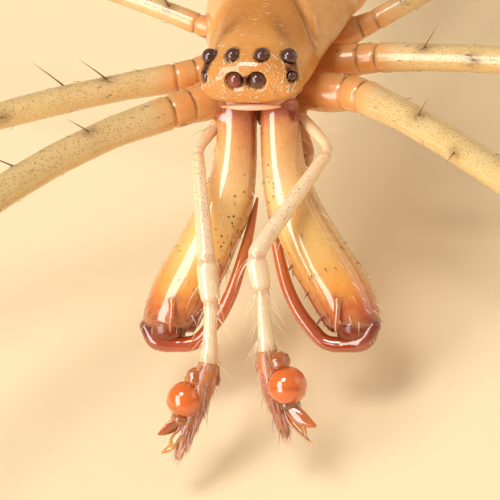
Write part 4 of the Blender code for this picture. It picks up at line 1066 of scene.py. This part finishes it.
def makeBulb(side, heart, way, out, across):
    # A ball with a seam, a lobe behind it, a plate before it, then a leaf, a twisted tip and a needle
    size = bulb["size"][side]
    axes = np.array((way, out, across))
    ball = ballForm(heart, (bulb["radius"] * size,) * 3, way, bulb["sides"])
    off = (ball["points"] - heart) @ unit(way + across * 0.4) - 0.035
    raiseForm(ball, bulb["seamLip"] * bell(off - 0.02, 0.02) - bulb["seamDepth"] * bell(off, 0.008))
    ball["tone"] = 0.25 * ease(-0.2, 0.9, unit(ball["points"] - heart) @ way)
    ball["stain"] = 0.30 * bell(off, 0.010)
    forms = [ball]
    for *offset, wide, deep, long, tone, stain in bulb["lobes"]:
        middle = heart + offset @ axes * size
        lobe = ballForm(middle, (wide, deep, long), way + across * 0.25, bulb["lobeSides"])
        waves = np.cos(lobe["points"] @ across * 90) * np.cos(lobe["points"] @ way * 70)
        raiseForm(lobe, bulb["bumps"] * waves)
        lobe["tone"] = tone
        lobe["stain"] = stain * ease(-0.6, 0.8, unit(lobe["points"] - middle) @ (across * 0.5 - out * 0.4))
        forms.append(lobe)
    for twist, (rootTone, tipTone), stain, rows in bulb["blades"]:
        rows = smoothRows(rows, bulb["bladeRings"]) * size
        rows[:, 1] += bulb["flare"][side] * np.maximum(rows[:, 0] - 0.08, 0)
        path = heart + rows[:, :3] @ axes
        blade = tubeForm(path, *rows.T[3:], bulb["bladeSides"], unit(across + out * twist), (0.006, 0.004))
        along = blade["along"]
        blade["tone"] = rootTone + (tipTone - rootTone) * along
        blade["stain"] = stain * (1 - ease(0.0, 0.45, along)) + 0.25 * ease(0.9, 1.0, along)
        forms.append(blade)
    nodes = (f"palp_{side}_bulb",)
    makePiece(f"bulbSkin_{side}", joinForms(*forms), headFrame, shells["bulb"], nodes)


for side, sign in sides.items():
    makePalp(side, sign)
print("palps made")


# Legs: the same stance as the solids'
legs = {
    "sizes": {  # coxa, trochanter, femur, patella, tibia, metatarsus, tarsus, femur radius
        1: (0.33, 0.14, 4.27, 0.70, 4.20, 4.30, 1.00, 0.106),
        2: (0.31, 0.13, 2.95, 0.60, 2.40, 2.60, 0.80, 0.092),
        3: (0.27, 0.11, 1.50, 0.38, 0.98, 1.00, 0.50, 0.066),
        4: (0.34, 0.12, 2.80, 0.45, 2.10, 2.20, 0.60, 0.078),
    },
    "coxaRadii": {1: 0.126, 2: 0.116, 3: 0.098, 4: 0.112},
    "hips": {1: (0.235, -0.53), 2: (0.255, -0.24), 3: (0.235, 0.02), 4: (0.180, 0.26)},
    "hipHeight": -0.245, "coxaRise": 8.0, "femurSteps": 10, "sides": 30,
    "steps": (0.005, 0.045, 0.045),  # near a joint, far from one, and how far the joints are rounded off
    "lowerBends": (14.0, 0.0, -7.0, 6.0),
    "footRadius": 0.20, "footLift": 0.6,
    "poses": {  # coxa's turn, then the femur's heading, rise, drop and sweep, then the turn beyond the knee
        ("right", 1): (42.0, 35.0, 6.0, 11.0, 26.0, 4.0), ("left", 1): (14.0, 38.0, 5.0, 8.0, 6.0, 14.0),
        ("right", 2): (32.0, 22.0, 6.0, 5.0, 8.0, 8.0), ("left", 2): (0.0, 10.0, 9.0, 5.0, 5.0, 8.0),
        ("right", 3): (-16.0, -16.0, 16.0, 6.0, 0.0, 0.0), ("left", 3): (-20.0, -30.0, 16.0, 6.0, 0.0, 0.0),
        ("right", 4): (-48.0, -60.0, 22.0, 6.0, -2.0, -8.0),
        ("left", 4): (-50.0, -64.0, 22.0, 6.0, -2.0, -8.0),
    },
    "femurRadii": ((0, 0.12, 0.3, 0.92, 1.0), (0.95, 0.97, 1.0, 0.74, 0.68)),
    "lowerRadii": (  # for each piece beyond the knee: share along it, and share of the femur's radius
        ((0.3, 0.72), (0.65, 0.74), (1.0, 0.60)),
        ((0.06, 0.57), (0.15, 0.59), (0.35, 0.56), (0.55, 0.53), (0.75, 0.50), (1.0, 0.45)),
        ((0.04, 0.43), (0.2, 0.39), (0.4, 0.36), (0.6, 0.34), (0.8, 0.32), (1.0, 0.28)),
        ((0.15, 0.26), (0.5, 0.24), (1.0, 0.22)),
        ((0.5, 0.20), (1.0, 0.14)),
    ),
    "jointDepths": (0.05, 0.07, 0.14, 0.14, 0.14, 0.10), "jointSwells": (0.0, 0.0, 0.03, 0.03, 0.03, 0.02),
    "rootCup": 0.08, "tones": (0.0, 0.06, 0.10, 0.34, 0.66, 0.74, 0.72, 0.88, 1.0),
    # share along the piece, degrees round from its top, length
    "femurSpines": ((0.13, 0, 0.30), (0.24, 55, 0.27), (0.40, -50, 0.26), (0.60, 10, 0.24), (0.80, 60, 0.22)),
    "tibiaSpines": ((0.08, 0, 0.30), (0.35, 50, 0.34), (0.52, -50, 0.32), (0.74, 10, 0.28)),
    "metatarsusSpines": ((0.10, 0, 0.28), (0.14, 60, 0.24)),
    "hairs": hairLook(0, 130, 0.05, 0.0020, 0.4, 0.66, 0.15, hairDark),
    "spine": {"thickness": 0.024, "curl": 0.05, "sunk": 0.04, "material": spineHorn},
    "claw": {"thickness": 0.12, "curl": 0.45, "sunk": 0.1, "material": toothHorn},
    "clawLength": 0.05, "clawsApart": (-0.35, 0.35),
}


def heading(degrees, rise, sign):
    turn, lift = math.radians(degrees), math.radians(rise)
    level = np.array((sign * math.cos(turn), -math.sin(turn), 0.0))
    return level * math.cos(lift) + np.array((0.0, 0.0, math.sin(lift)))


def footJoints(knee, turn, slope, lengths, sign):
    joints = [knee]
    for length, bend in zip(lengths, legs["lowerBends"]):
        joints.append(joints[-1] + heading(turn, slope + bend, sign) * length)
    joints.append(joints[-1] + heading(turn, 0.0, sign) * lengths[-1])
    return joints


def settledJoints(knee, turn, lengths, sign, height):  # halve the range of slopes until the foot is down
    low, high = -80.0, 20.0
    for _ in range(50):
        slope = (low + high) / 2
        if footJoints(knee, turn, slope, lengths, sign)[-1][2] > height:
            high = slope
        else:
            low = slope
    return footJoints(knee, turn, slope, lengths, sign)


def legStations(side, sign, number):
    # The leg's whole centre line with its radii and its joints, in the floor's frame
    coxa, trochanter, femur, patella, tibia, metatarsus, tarsus, radius = legs["sizes"][number]
    coxaTurn, turn, rise, drop, sweep, kneeTurn = legs["poses"][(side, number)]
    hipX, hipY = legs["hips"][number]
    hip = headTurn @ np.array((sign * hipX, hipY, legs["hipHeight"])) + (0, 0, stance["bodyHeight"])
    coxaWay = headTurn @ heading(coxaTurn, legs["coxaRise"], sign)
    linkWay = unit(coxaWay + headTurn @ heading(turn, rise, sign))
    coxaEnd = hip + coxaWay * coxa
    wide = legs["coxaRadii"][number]
    path = [hip, *(hip + coxaWay * coxa * share for share in (0.35, 0.7, 0.93)), coxaEnd]
    radii = [wide * 0.95, wide * 1.02, wide * 1.04, wide * 0.95, radius * 0.96]
    path += [coxaEnd + linkWay * trochanter * share for share in (0.25, 0.65, 1.0)]
    radii += [radius * 1.12, radius * 1.13, radius * 0.97]
    hinge = knee = path[-1]
    for k in range(legs["femurSteps"]):
        bent = 1 - (1 - (k + 0.5) / legs["femurSteps"]) ** 3
        way = headTurn @ heading(turn + sweep * bent, rise - drop * bent, sign)
        knee = knee + way * femur / legs["femurSteps"]
        path.append(knee)
        radii.append(radius * np.interp((k + 1) / legs["femurSteps"], *legs["femurRadii"]))
    foot = radius * legs["footRadius"]
    beyond = math.degrees(math.atan2(-way[1], way[0] * sign)) + kneeTurn
    lengths = (patella, tibia, metatarsus, tarsus - foot * 4, foot * 4)
    joints = settledJoints(knee, beyond, lengths, sign, foot * legs["footLift"])
    for k, stations in enumerate(legs["lowerRadii"]):
        for share, factor in stations:
            path.append(joints[k] + (joints[k + 1] - joints[k]) * share)
            radii.append(radius * factor)
    return path, radii, (coxaEnd, hinge, knee, *joints[1:4])


def legRoots(path, stations, radii, start, end, places, dice):
    # Roots of a row of spines on the stretch of the leg from start to end
    roots = []
    for share, around, length in places:
        at = start + (end - start) * (share + dice.uniform(-0.02, 0.02))
        k = min(int(np.searchsorted(stations, at)), len(path) - 2)
        along = unit(path[k + 1] - path[k - 1])
        side = unit(np.cross(along, upWay))
        top = np.cross(side, along)
        angle = math.radians(around + dice.uniform(-8, 8))
        out = top * math.cos(angle) + side * math.sin(angle)
        uv = ((math.atan2(math.cos(angle), math.sin(angle)) / (2 * math.pi)) % 1.0, at / stations[-1])
        size = length * dice.uniform(0.9, 1.1)
        roots.append((path[k] + out * radii[k] * 0.96, out + along * 0.75, along, size, uv))
    return roots


def makeLeg(side, sign, number):
    look, label = legs, f"{side}_{number}"
    path, radii, stations, cornerAt, near = resampled(*legStations(side, sign, number), *look["steps"])
    coxaEnd, hinge, knee, shin, ankle, _ = cornerAt
    depth, swell = (np.interp(stations, cornerAt, look[key]) for key in ("jointDepths", "jointSwells"))
    radii = radii * (1 - depth * bell(near, 0.009)) * (1 + swell * bell(near - 0.035, 0.022))
    past = stations - hinge
    cup = ease(0.0, 0.03, past) * (1 - ease(0.05, 0.40, past))  # the femur's root
    radii = radii * (1 + look["rootCup"] * cup)
    form = tubeForm(path, radii, radii, look["sides"], upWay, (0.06, radii[-1]))
    points, at, away = form["points"], stations[form["row"]], near[form["row"]]
    marks = (0, coxaEnd, hinge, hinge + 0.25, knee - 0.5, knee, shin, ankle, stations[-1])
    form["tone"] = np.interp(at, marks, look["tones"])
    dice = random.Random(number * 10 + int(sign))
    halfway = ankle + look["sizes"][number][5] * 0.5
    spans = (("femurSpines", hinge, knee), ("tibiaSpines", shin, ankle), ("metatarsusSpines", ankle, halfway))
    spines = []
    for key, start, end in spans:
        spines += legRoots(path, stations, radii, start, end, look[key], dice)
    turn = form["around"] * 2 * math.pi
    jointLine = bell(away, 0.007) * (0.55 + 0.45 * np.cos(turn * 2 + 1.7 * number + 2.3 * np.round(at, 1)))
    stain = jointLine + 0.20 * bell(at - knee + 0.10, 0.10) + 0.25 * bell(at - ankle + 0.12, 0.12)
    for root, *_ in spines:
        stain = np.maximum(stain, 0.62 * bell(np.linalg.norm(points - root, axis=1), 0.055))
    form["stain"] = np.clip(stain, 0, 1)
    form["freckle"] = (0.35 + 0.65 * ease(-0.3, 0.6, np.sin(turn))) * ease(hinge, hinge + 0.3, at)
    coat = 0.18 + 0.45 * ease(knee, shin, at) + 0.37 * ease(ankle, ankle + 1.0, at)
    form["coat"] = coat * ease(0.04, 0.09, points[:, 2])
    points[:, 2] = np.maximum(points[:, 2], 0.0)
    nodes = [f"leg_{label}_{part}" for part in ("coxa", "femur", "tibia", "tarsus")]
    skin = makePiece(f"legSkin_{label}", form, floorFrame, shells["leg"], nodes)
    growHairs(f"legHairs_{label}", skin, {**look["hairs"], "seed": number * 7}, sign)
    plantStrands(f"legSpines_{label}", spines, look["spine"], floorFrame)
    way = unit(path[-1] - path[-3])
    aims = [way + (0, 0, 0.6) + np.cross(way, upWay) * apart for apart in look["clawsApart"]]
    claws = [(path[-1], aim, way - (0, 0, 1.2), look["clawLength"], (0.25, 1.0)) for aim in aims]
    plantStrands(f"legClaws_{label}", claws, look["claw"], floorFrame)


for side, sign in sides.items():
    for number in legs["sizes"]:
        makeLeg(side, sign, number)
print("legs made")


# Abdomen: share of its length, half width, top and underside from its axis
abdomen = {
    "length": 3.60, "start": 0.92, "arch": 0.02, "pedicelHeight": 0.02,
    "rows": (
        (0.000, 0.16, 0.20, 0.14), (0.030, 0.30, 0.36, 0.24), (0.100, 0.42, 0.47, 0.33),
        (0.260, 0.49, 0.49, 0.40), (0.500, 0.45, 0.43, 0.38), (0.740, 0.35, 0.35, 0.31),
        (0.900, 0.24, 0.26, 0.22), (0.970, 0.17, 0.20, 0.13), (1.000, 0.10, 0.14, 0.05),
    ),
    "rings": 200, "sides": 110, "leafTeeth": 5,
    "dimple": 0.012, "dimplePairs": 4, "dimpleStart": 0.75, "dimpleStep": 0.55, "backLine": 0.006,
    "hairs": hairLook(61, 60, 0.07, 0.0024, 0.4, 0.74, 0.2, hairDark),
    "stalk": {
        "radii": ((0, 0.4, 0.6, 1), (0.072, 0.056, 0.056, 0.080)), "start": 0.68, "past": 0.08,
        "rings": 30, "sides": 36, "folds": 0.05,
    },
}
spinnerets = {
    "root": (0.955, -0.13),  # share of the abdomen's length, and height from its axis
    "way": (0.0, 0.75, -0.65),
    "cones": ((0.052, -0.035, 0.17), (0.030, 0.030, 0.13), (0.060, 0.028, 0.18)),  # sideways, lift, length
    "radius": 0.030, "taper": ((0, 0.5, 0.62, 0.95, 1), (1.05, 0.95, 0.72, 0.5, 0.3)),
    "rings": 22, "sides": 24,
    "base": {"reach": (-0.02, 0.07), "wide": (0.112, 0.09), "deep": (0.092, 0.075), "rings": 14, "sides": 44},
    "hairs": hairLook(71, 380, 0.06, 0.0024, 0.3, 0.6, 0.1, hairDark),
}
abdomenStart = put((0.0, abdomen["start"] - 0.04, abdomen["pedicelHeight"]), headFrame)
abdomenFrame = (turnX(-stance["abdomenTilt"]), abdomenStart)


def makeAbdomen():
    look = abdomen
    share, halfWidth, above, below = smoothRows(look["rows"], look["rings"]).T
    middle = look["arch"] * np.sin(math.pi * share)
    rows = np.column_stack((share * look["length"], halfWidth, middle, above, below))
    form = bodyForm(rows, look["sides"], (0.03, 0.05))
    x, y, z = form["points"].T
    share = y / look["length"]
    angle = np.degrees(np.arctan2(x, z))  # 0 at the top, 180 under
    dimples = sum(
        bell(y - look["dimpleStart"] - look["dimpleStep"] * k, 0.07) * bell(angle - sign * (30 + 4 * k), 9)
        for k in range(look["dimplePairs"]) for sign in sides.values()
    )
    raiseForm(form, -look["dimple"] * dimples - look["backLine"] * bell(angle, 6) * ease(0.05, 0.2, share))
    off = np.abs(angle)
    wave = np.abs(((share * look["leafTeeth"]) % 1.0) - 0.5) * 2
    edge = 34 + 9 * wave - 22 * ease(0.55, 1.0, share)
    leaf, rim = 1 - ease(edge - 3, edge + 3, off), bell(off - edge, 3.5) * ease(0.04, 0.1, share)
    heart, belly = 1 - ease(5, 9, off + 14 * ease(0.22, 0.34, share)), 1 - ease(26, 38, 180 - off)
    form["stain"] = np.clip(0.26 * leaf + 0.55 * rim + 0.5 * heart + 0.75 * belly, 0, 0.95)
    form["tone"] = np.clip(0.3 + 0.5 * leaf + 0.7 * belly, 0, 1)
    form["coat"] = 1.0
    skin = makePiece("abdomenSkin", form, abdomenFrame, silverSkin, ("abdomen",))
    growHairs("abdomenHairs", skin, look["hairs"])
    stalk = look["stalk"]
    shares = np.linspace(0, 1, stalk["rings"])
    reach = np.linspace(stalk["start"], look["start"] + stalk["past"], stalk["rings"])
    path = [(0, y, look["pedicelHeight"]) for y in reach]
    thick = np.interp(shares, *stalk["radii"]) * (1 + stalk["folds"] * np.cos(shares * 40))
    form = tubeForm(path, thick, thick, stalk["sides"], upWay, (0.01, 0.01))
    form["tone"] = 0.8
    makePiece("waistSkin", form, headFrame, shells["soft"], ("pedicel",))


def makeSpinnerets():
    look, base = spinnerets, spinnerets["base"]
    root = np.array((0.0, abdomen["length"] * look["root"][0], look["root"][1]))
    way = unit(look["way"])
    reach, wide, deep = (np.linspace(*base[key], base["rings"]) for key in ("reach", "wide", "deep"))
    form = tubeForm(root + np.outer(reach, way), wide, deep, base["sides"], upWay, (0.02, 0.02))
    form["tone"], form["coat"] = 0.6, 1.0
    forms = [form]
    shares = np.linspace(0, 1, look["rings"])
    thick = look["radius"] * np.interp(shares, *look["taper"])
    for sideways, lift, length in look["cones"]:
        for sign in sides.values():
            start = root + way * 0.03 + (sign * sideways, 0, lift)
            lean = unit(way + (sign * sideways * 1.5, 0, lift * 3))
            path = start + np.outer(shares * length, lean)
            cone = tubeForm(path, thick, thick, look["sides"], upWay, (0.005, 0.008))
            cone["tone"], cone["coat"] = cone["along"], 1.0
            cone["stain"] = 0.5 * bell(cone["along"] - 0.58, 0.05)
            forms.append(cone)
    form, nodes = joinForms(*forms), ("spinnerets",)
    skin = makePiece("spinneretSkin", form, abdomenFrame, shells["spinneret"], nodes)
    growHairs("spinneretHairs", skin, look["hairs"])


makeAbdomen()
makeSpinnerets()
print("abdomen made")


# Sternum, mouth parts and the soft skin between carapace and hips
under = {
    "sternum": (  # y, half width, top and underside heights
        (-0.50, 0.14, -0.13, -0.29), (-0.42, 0.21, -0.12, -0.34), (-0.16, 0.26, -0.12, -0.38),
        (0.12, 0.24, -0.12, -0.37), (0.36, 0.15, -0.12, -0.32), (0.52, 0.06, -0.13, -0.26),
    ),
    "labium": (  # y, half width, middle height, and the reach above and below
        (-0.52, 0.090, -0.273, 0.045, 0.045), (-0.54, 0.095, -0.280, 0.045, 0.045),
        (-0.59, 0.105, -0.2975, 0.045, 0.045), (-0.68, 0.085, -0.329, 0.045, 0.045),
        (-0.72, 0.05, -0.343, 0.045, 0.045),
    ),
    "endite": (  # sideways, y and height, then half width and half depth
        (0.19, -0.53, -0.26, 0.085, 0.070), (0.19, -0.71, -0.37, 0.075, 0.058),
        (0.23, -0.85, -0.50, 0.095, 0.050), (0.24, -0.91, -0.56, 0.060, 0.045),
    ),
    "soft": (  # y, half width, top and underside of the joint skin
        (-0.90, 0.17, -0.02, -0.10), (-0.82, 0.24, 0.00, -0.14), (-0.60, 0.27, 0.02, -0.24),
        (-0.30, 0.30, 0.04, -0.26), (0.10, 0.30, 0.04, -0.26), (0.40, 0.24, 0.02, -0.22),
        (0.62, 0.12, 0.00, -0.12),
    ),
    "softFolds": 0.008,
    "sternumHairs": hairLook(81, 110, 0.08, 0.0028, 0.4, 0.5, 0.2, hairDark),
    "enditeHairs": hairLook(91, 380, 0.06, 0.0026, 0.4, 0.5, 0.2, hairDark),
}
faceBand = {
    "halfWidth": 0.17, "halfDepth": 0.025, "halfHeight": 0.022, "y": -0.972, "height": -0.040,
    "bow": 0.010, "sag": 0.004, "rings": 60, "sides": 30, "thinning": 0.55, "folds": 0.0006,
}


def makeUnderside():
    plate = bodyForm(evenRows(under["sternum"], 90), 90, (0.02, 0.03), 0.7)
    plate["tone"] = 0.3 + 0.6 * bell(np.abs(plate["points"][:, 0]) - 0.2, 0.06)
    plate["freckle"], plate["lie"] = 0.5, (0.0, 0.8, -0.2)
    plate["coat"] = 1 - ease(-0.28, -0.20, plate["points"][:, 2])
    skin = makePiece("sternumPlate", plate, headFrame, shells["sternum"], ("sternum",))
    growHairs("sternumHairs", skin, under["sternumHairs"])
    lip = bodyForm(smoothRows(under["labium"], 30), 50, (0.01, 0.02), 0.8)
    lip["tone"] = 0.7
    makePiece("labiumPlate", lip, headFrame, shells["sternum"], ("labium",))
    rows = smoothRows(under["endite"], 60)
    for side, sign in sides.items():
        lobe = tubeForm(rows[:, :3] * (sign, 1, 1), *rows.T[3:], 44, upWay, (0.02, 0.03))
        lobe["tone"] = 0.1 + 0.4 * lobe["along"]
        lobe["coat"] = ease(0.6, 0.9, lobe["along"])
        nodes = (f"endite_{side}",)
        skin = makePiece(f"enditeLobe_{side}", lobe, headFrame, shells["sternum"], nodes)
        growHairs(f"enditeHairs_{side}", skin, under["enditeHairs"], sign)
    soft = bodyForm(evenRows(under["soft"], 80), 70, (0.03, 0.02), 0.9)
    raiseForm(soft, under["softFolds"] * np.cos(soft["points"][:, 1] * 48))
    soft["tone"] = 0.2 + 0.6 * ease(-0.7, -0.4, soft["points"][:, 1])
    makePiece("jointSkin", soft, headFrame, shells["soft"])


def makeFaceBand():
    # The pale folded skin between the face's lower edge and the jaws
    band = faceBand
    across = np.linspace(-1, 1, band["rings"])
    y, height = band["y"] + band["bow"] * across**2, band["height"] - band["sag"] * across**2
    path = np.column_stack((across * band["halfWidth"], y, height))
    thin = 1 - band["thinning"] * across**2
    wide, high = band["halfDepth"] * thin, band["halfHeight"] * thin
    form = tubeForm(path, wide, high, band["sides"], upWay, (0.03, 0.03))
    along = form["along"]
    # darker towards both ends: painted shade
    form["tone"] = 0.9 * ease(0.45, 1.0, np.abs(2 * along - 1))
    raiseForm(form, band["folds"] * np.cos(along * 40 + 3 * along**2))
    makePiece("faceBand", form, headFrame, shells["soft"])


makeUnderside()
makeFaceBand()
print("underside made")


# Floor, light and camera
studio = {
    "floorHalf": 1.5,  # metres
    "floor": (250, 230, 192), "air": (255, 240, 216), "airStrength": 0.36,
    "azimuth": 17.7, "elevation": 36.0,  # of the camera, in the head's own frame
    "width": 3.2, "distance": 90.0, "sensor": 36.0,  # millimetres
    "eyesAt": (246.5, 79.4), "imageSize": 500,  # where the front middle eyes show in the picture
}
lights = (  # name, direction in the camera's own axes, distance and sizes in millimetres, strength, colour
    ("keyLight", (-0.38, 0.58, 0.72), 80.0, (28.0, 28.0), 0.024, (1.0, 0.97, 0.93)),
    ("sideLight", (-0.74, -0.08, 0.66), 80.0, (42.0, 88.0), 0.058, (1.0, 0.97, 0.92)),
    ("fillLight", (0.85, 0.45, 0.30), 90.0, (60.0, 60.0), 0.010, (1.0, 0.94, 0.86)),
)


def makeStage():
    half = studio["floorHalf"]
    mesh = bpy.data.meshes.new("floor")
    corners = [(-half, -half, 0), (half, -half, 0), (half, half, 0), (-half, half, 0)]
    mesh.from_pydata(corners, [], [(0, 1, 2, 3)])
    floor = addObject("floor", mesh)
    material, tree, shader = newMaterial("floorPaint")
    feed(tree, shader, {"Base Color": rgb(studio["floor"]), "Roughness": 0.85, "Specular IOR Level": 0.2})
    mesh.materials.append(material)
    world = bpy.data.worlds.new("studio")
    world.use_nodes = True
    air = {"Color": rgb(studio["air"]), "Strength": studio["airStrength"]}
    feed(world.node_tree, world.node_tree.nodes["Background"], air)
    bpy.context.scene.world = world


def cameraAxes():  # right, up and back, with the horizon level
    a, e = math.radians(studio["azimuth"]), math.radians(studio["elevation"])
    right = np.array([math.cos(a), math.sin(a), 0])
    up = np.array([-math.sin(a) * math.sin(e), math.cos(a) * math.sin(e), math.cos(e)])
    back = np.array([math.sin(a) * math.cos(e), -math.cos(a) * math.cos(e), math.sin(e)])
    roll = math.atan(math.tan(a) * math.sin(e))
    levelRight = right * math.cos(roll) - up * math.sin(roll)
    levelUp = right * math.sin(roll) + up * math.cos(roll)
    return [headTurn @ v for v in (levelRight, levelUp, back)]


def aimed(place, target, up):  # a matrix at place whose -Z looks at the target
    back = unit(np.asarray(place) - target)
    right = unit(np.cross(up, back))
    matrix = Matrix.Identity(4)
    for column, vector in enumerate((right, np.cross(back, right), back, place)):
        for row in range(3):
            matrix[row][column] = vector[row]
    return matrix


def makeCamera(right, up, back):
    half = studio["imageSize"] / 2
    pixel = studio["width"] / studio["imageSize"]
    eyesX, eyesY = studio["eyesAt"]
    centre = frontEyes + right * (half - eyesX) * pixel + up * (eyesY - half) * pixel
    data = bpy.data.cameras.new("photoCamera")
    data.sensor_width = studio["sensor"]
    data.lens = studio["sensor"] * studio["distance"] / studio["width"]
    data.clip_start, data.clip_end = 0.0005, 10.0
    thing = addObject("photoCamera", data)
    thing.matrix_world = aimed((centre + back * studio["distance"]) * mm, centre * mm, up)
    bpy.context.scene.camera = thing
    return centre


def makeLights(centre, axes):
    for name, direction, distance, size, strength, colour in lights:
        data = bpy.data.lights.new(name, "AREA")
        data.shape = "RECTANGLE"
        data.size, data.size_y = (s * mm for s in size)
        data.energy, data.color = strength, colour
        thing = addObject(name, data)
        place = centre + unit(direction) @ axes * distance
        thing.matrix_world = aimed(place * mm, centre * mm, axes[1])
        thing.visible_camera = False


makeStage()
viewAxes = np.array(cameraAxes())
makeLights(makeCamera(*viewAxes), viewAxes)
bpy.context.scene.view_settings.view_transform = "Standard"
print("stage, camera and lights made")

bpy.context.view_layer.update()
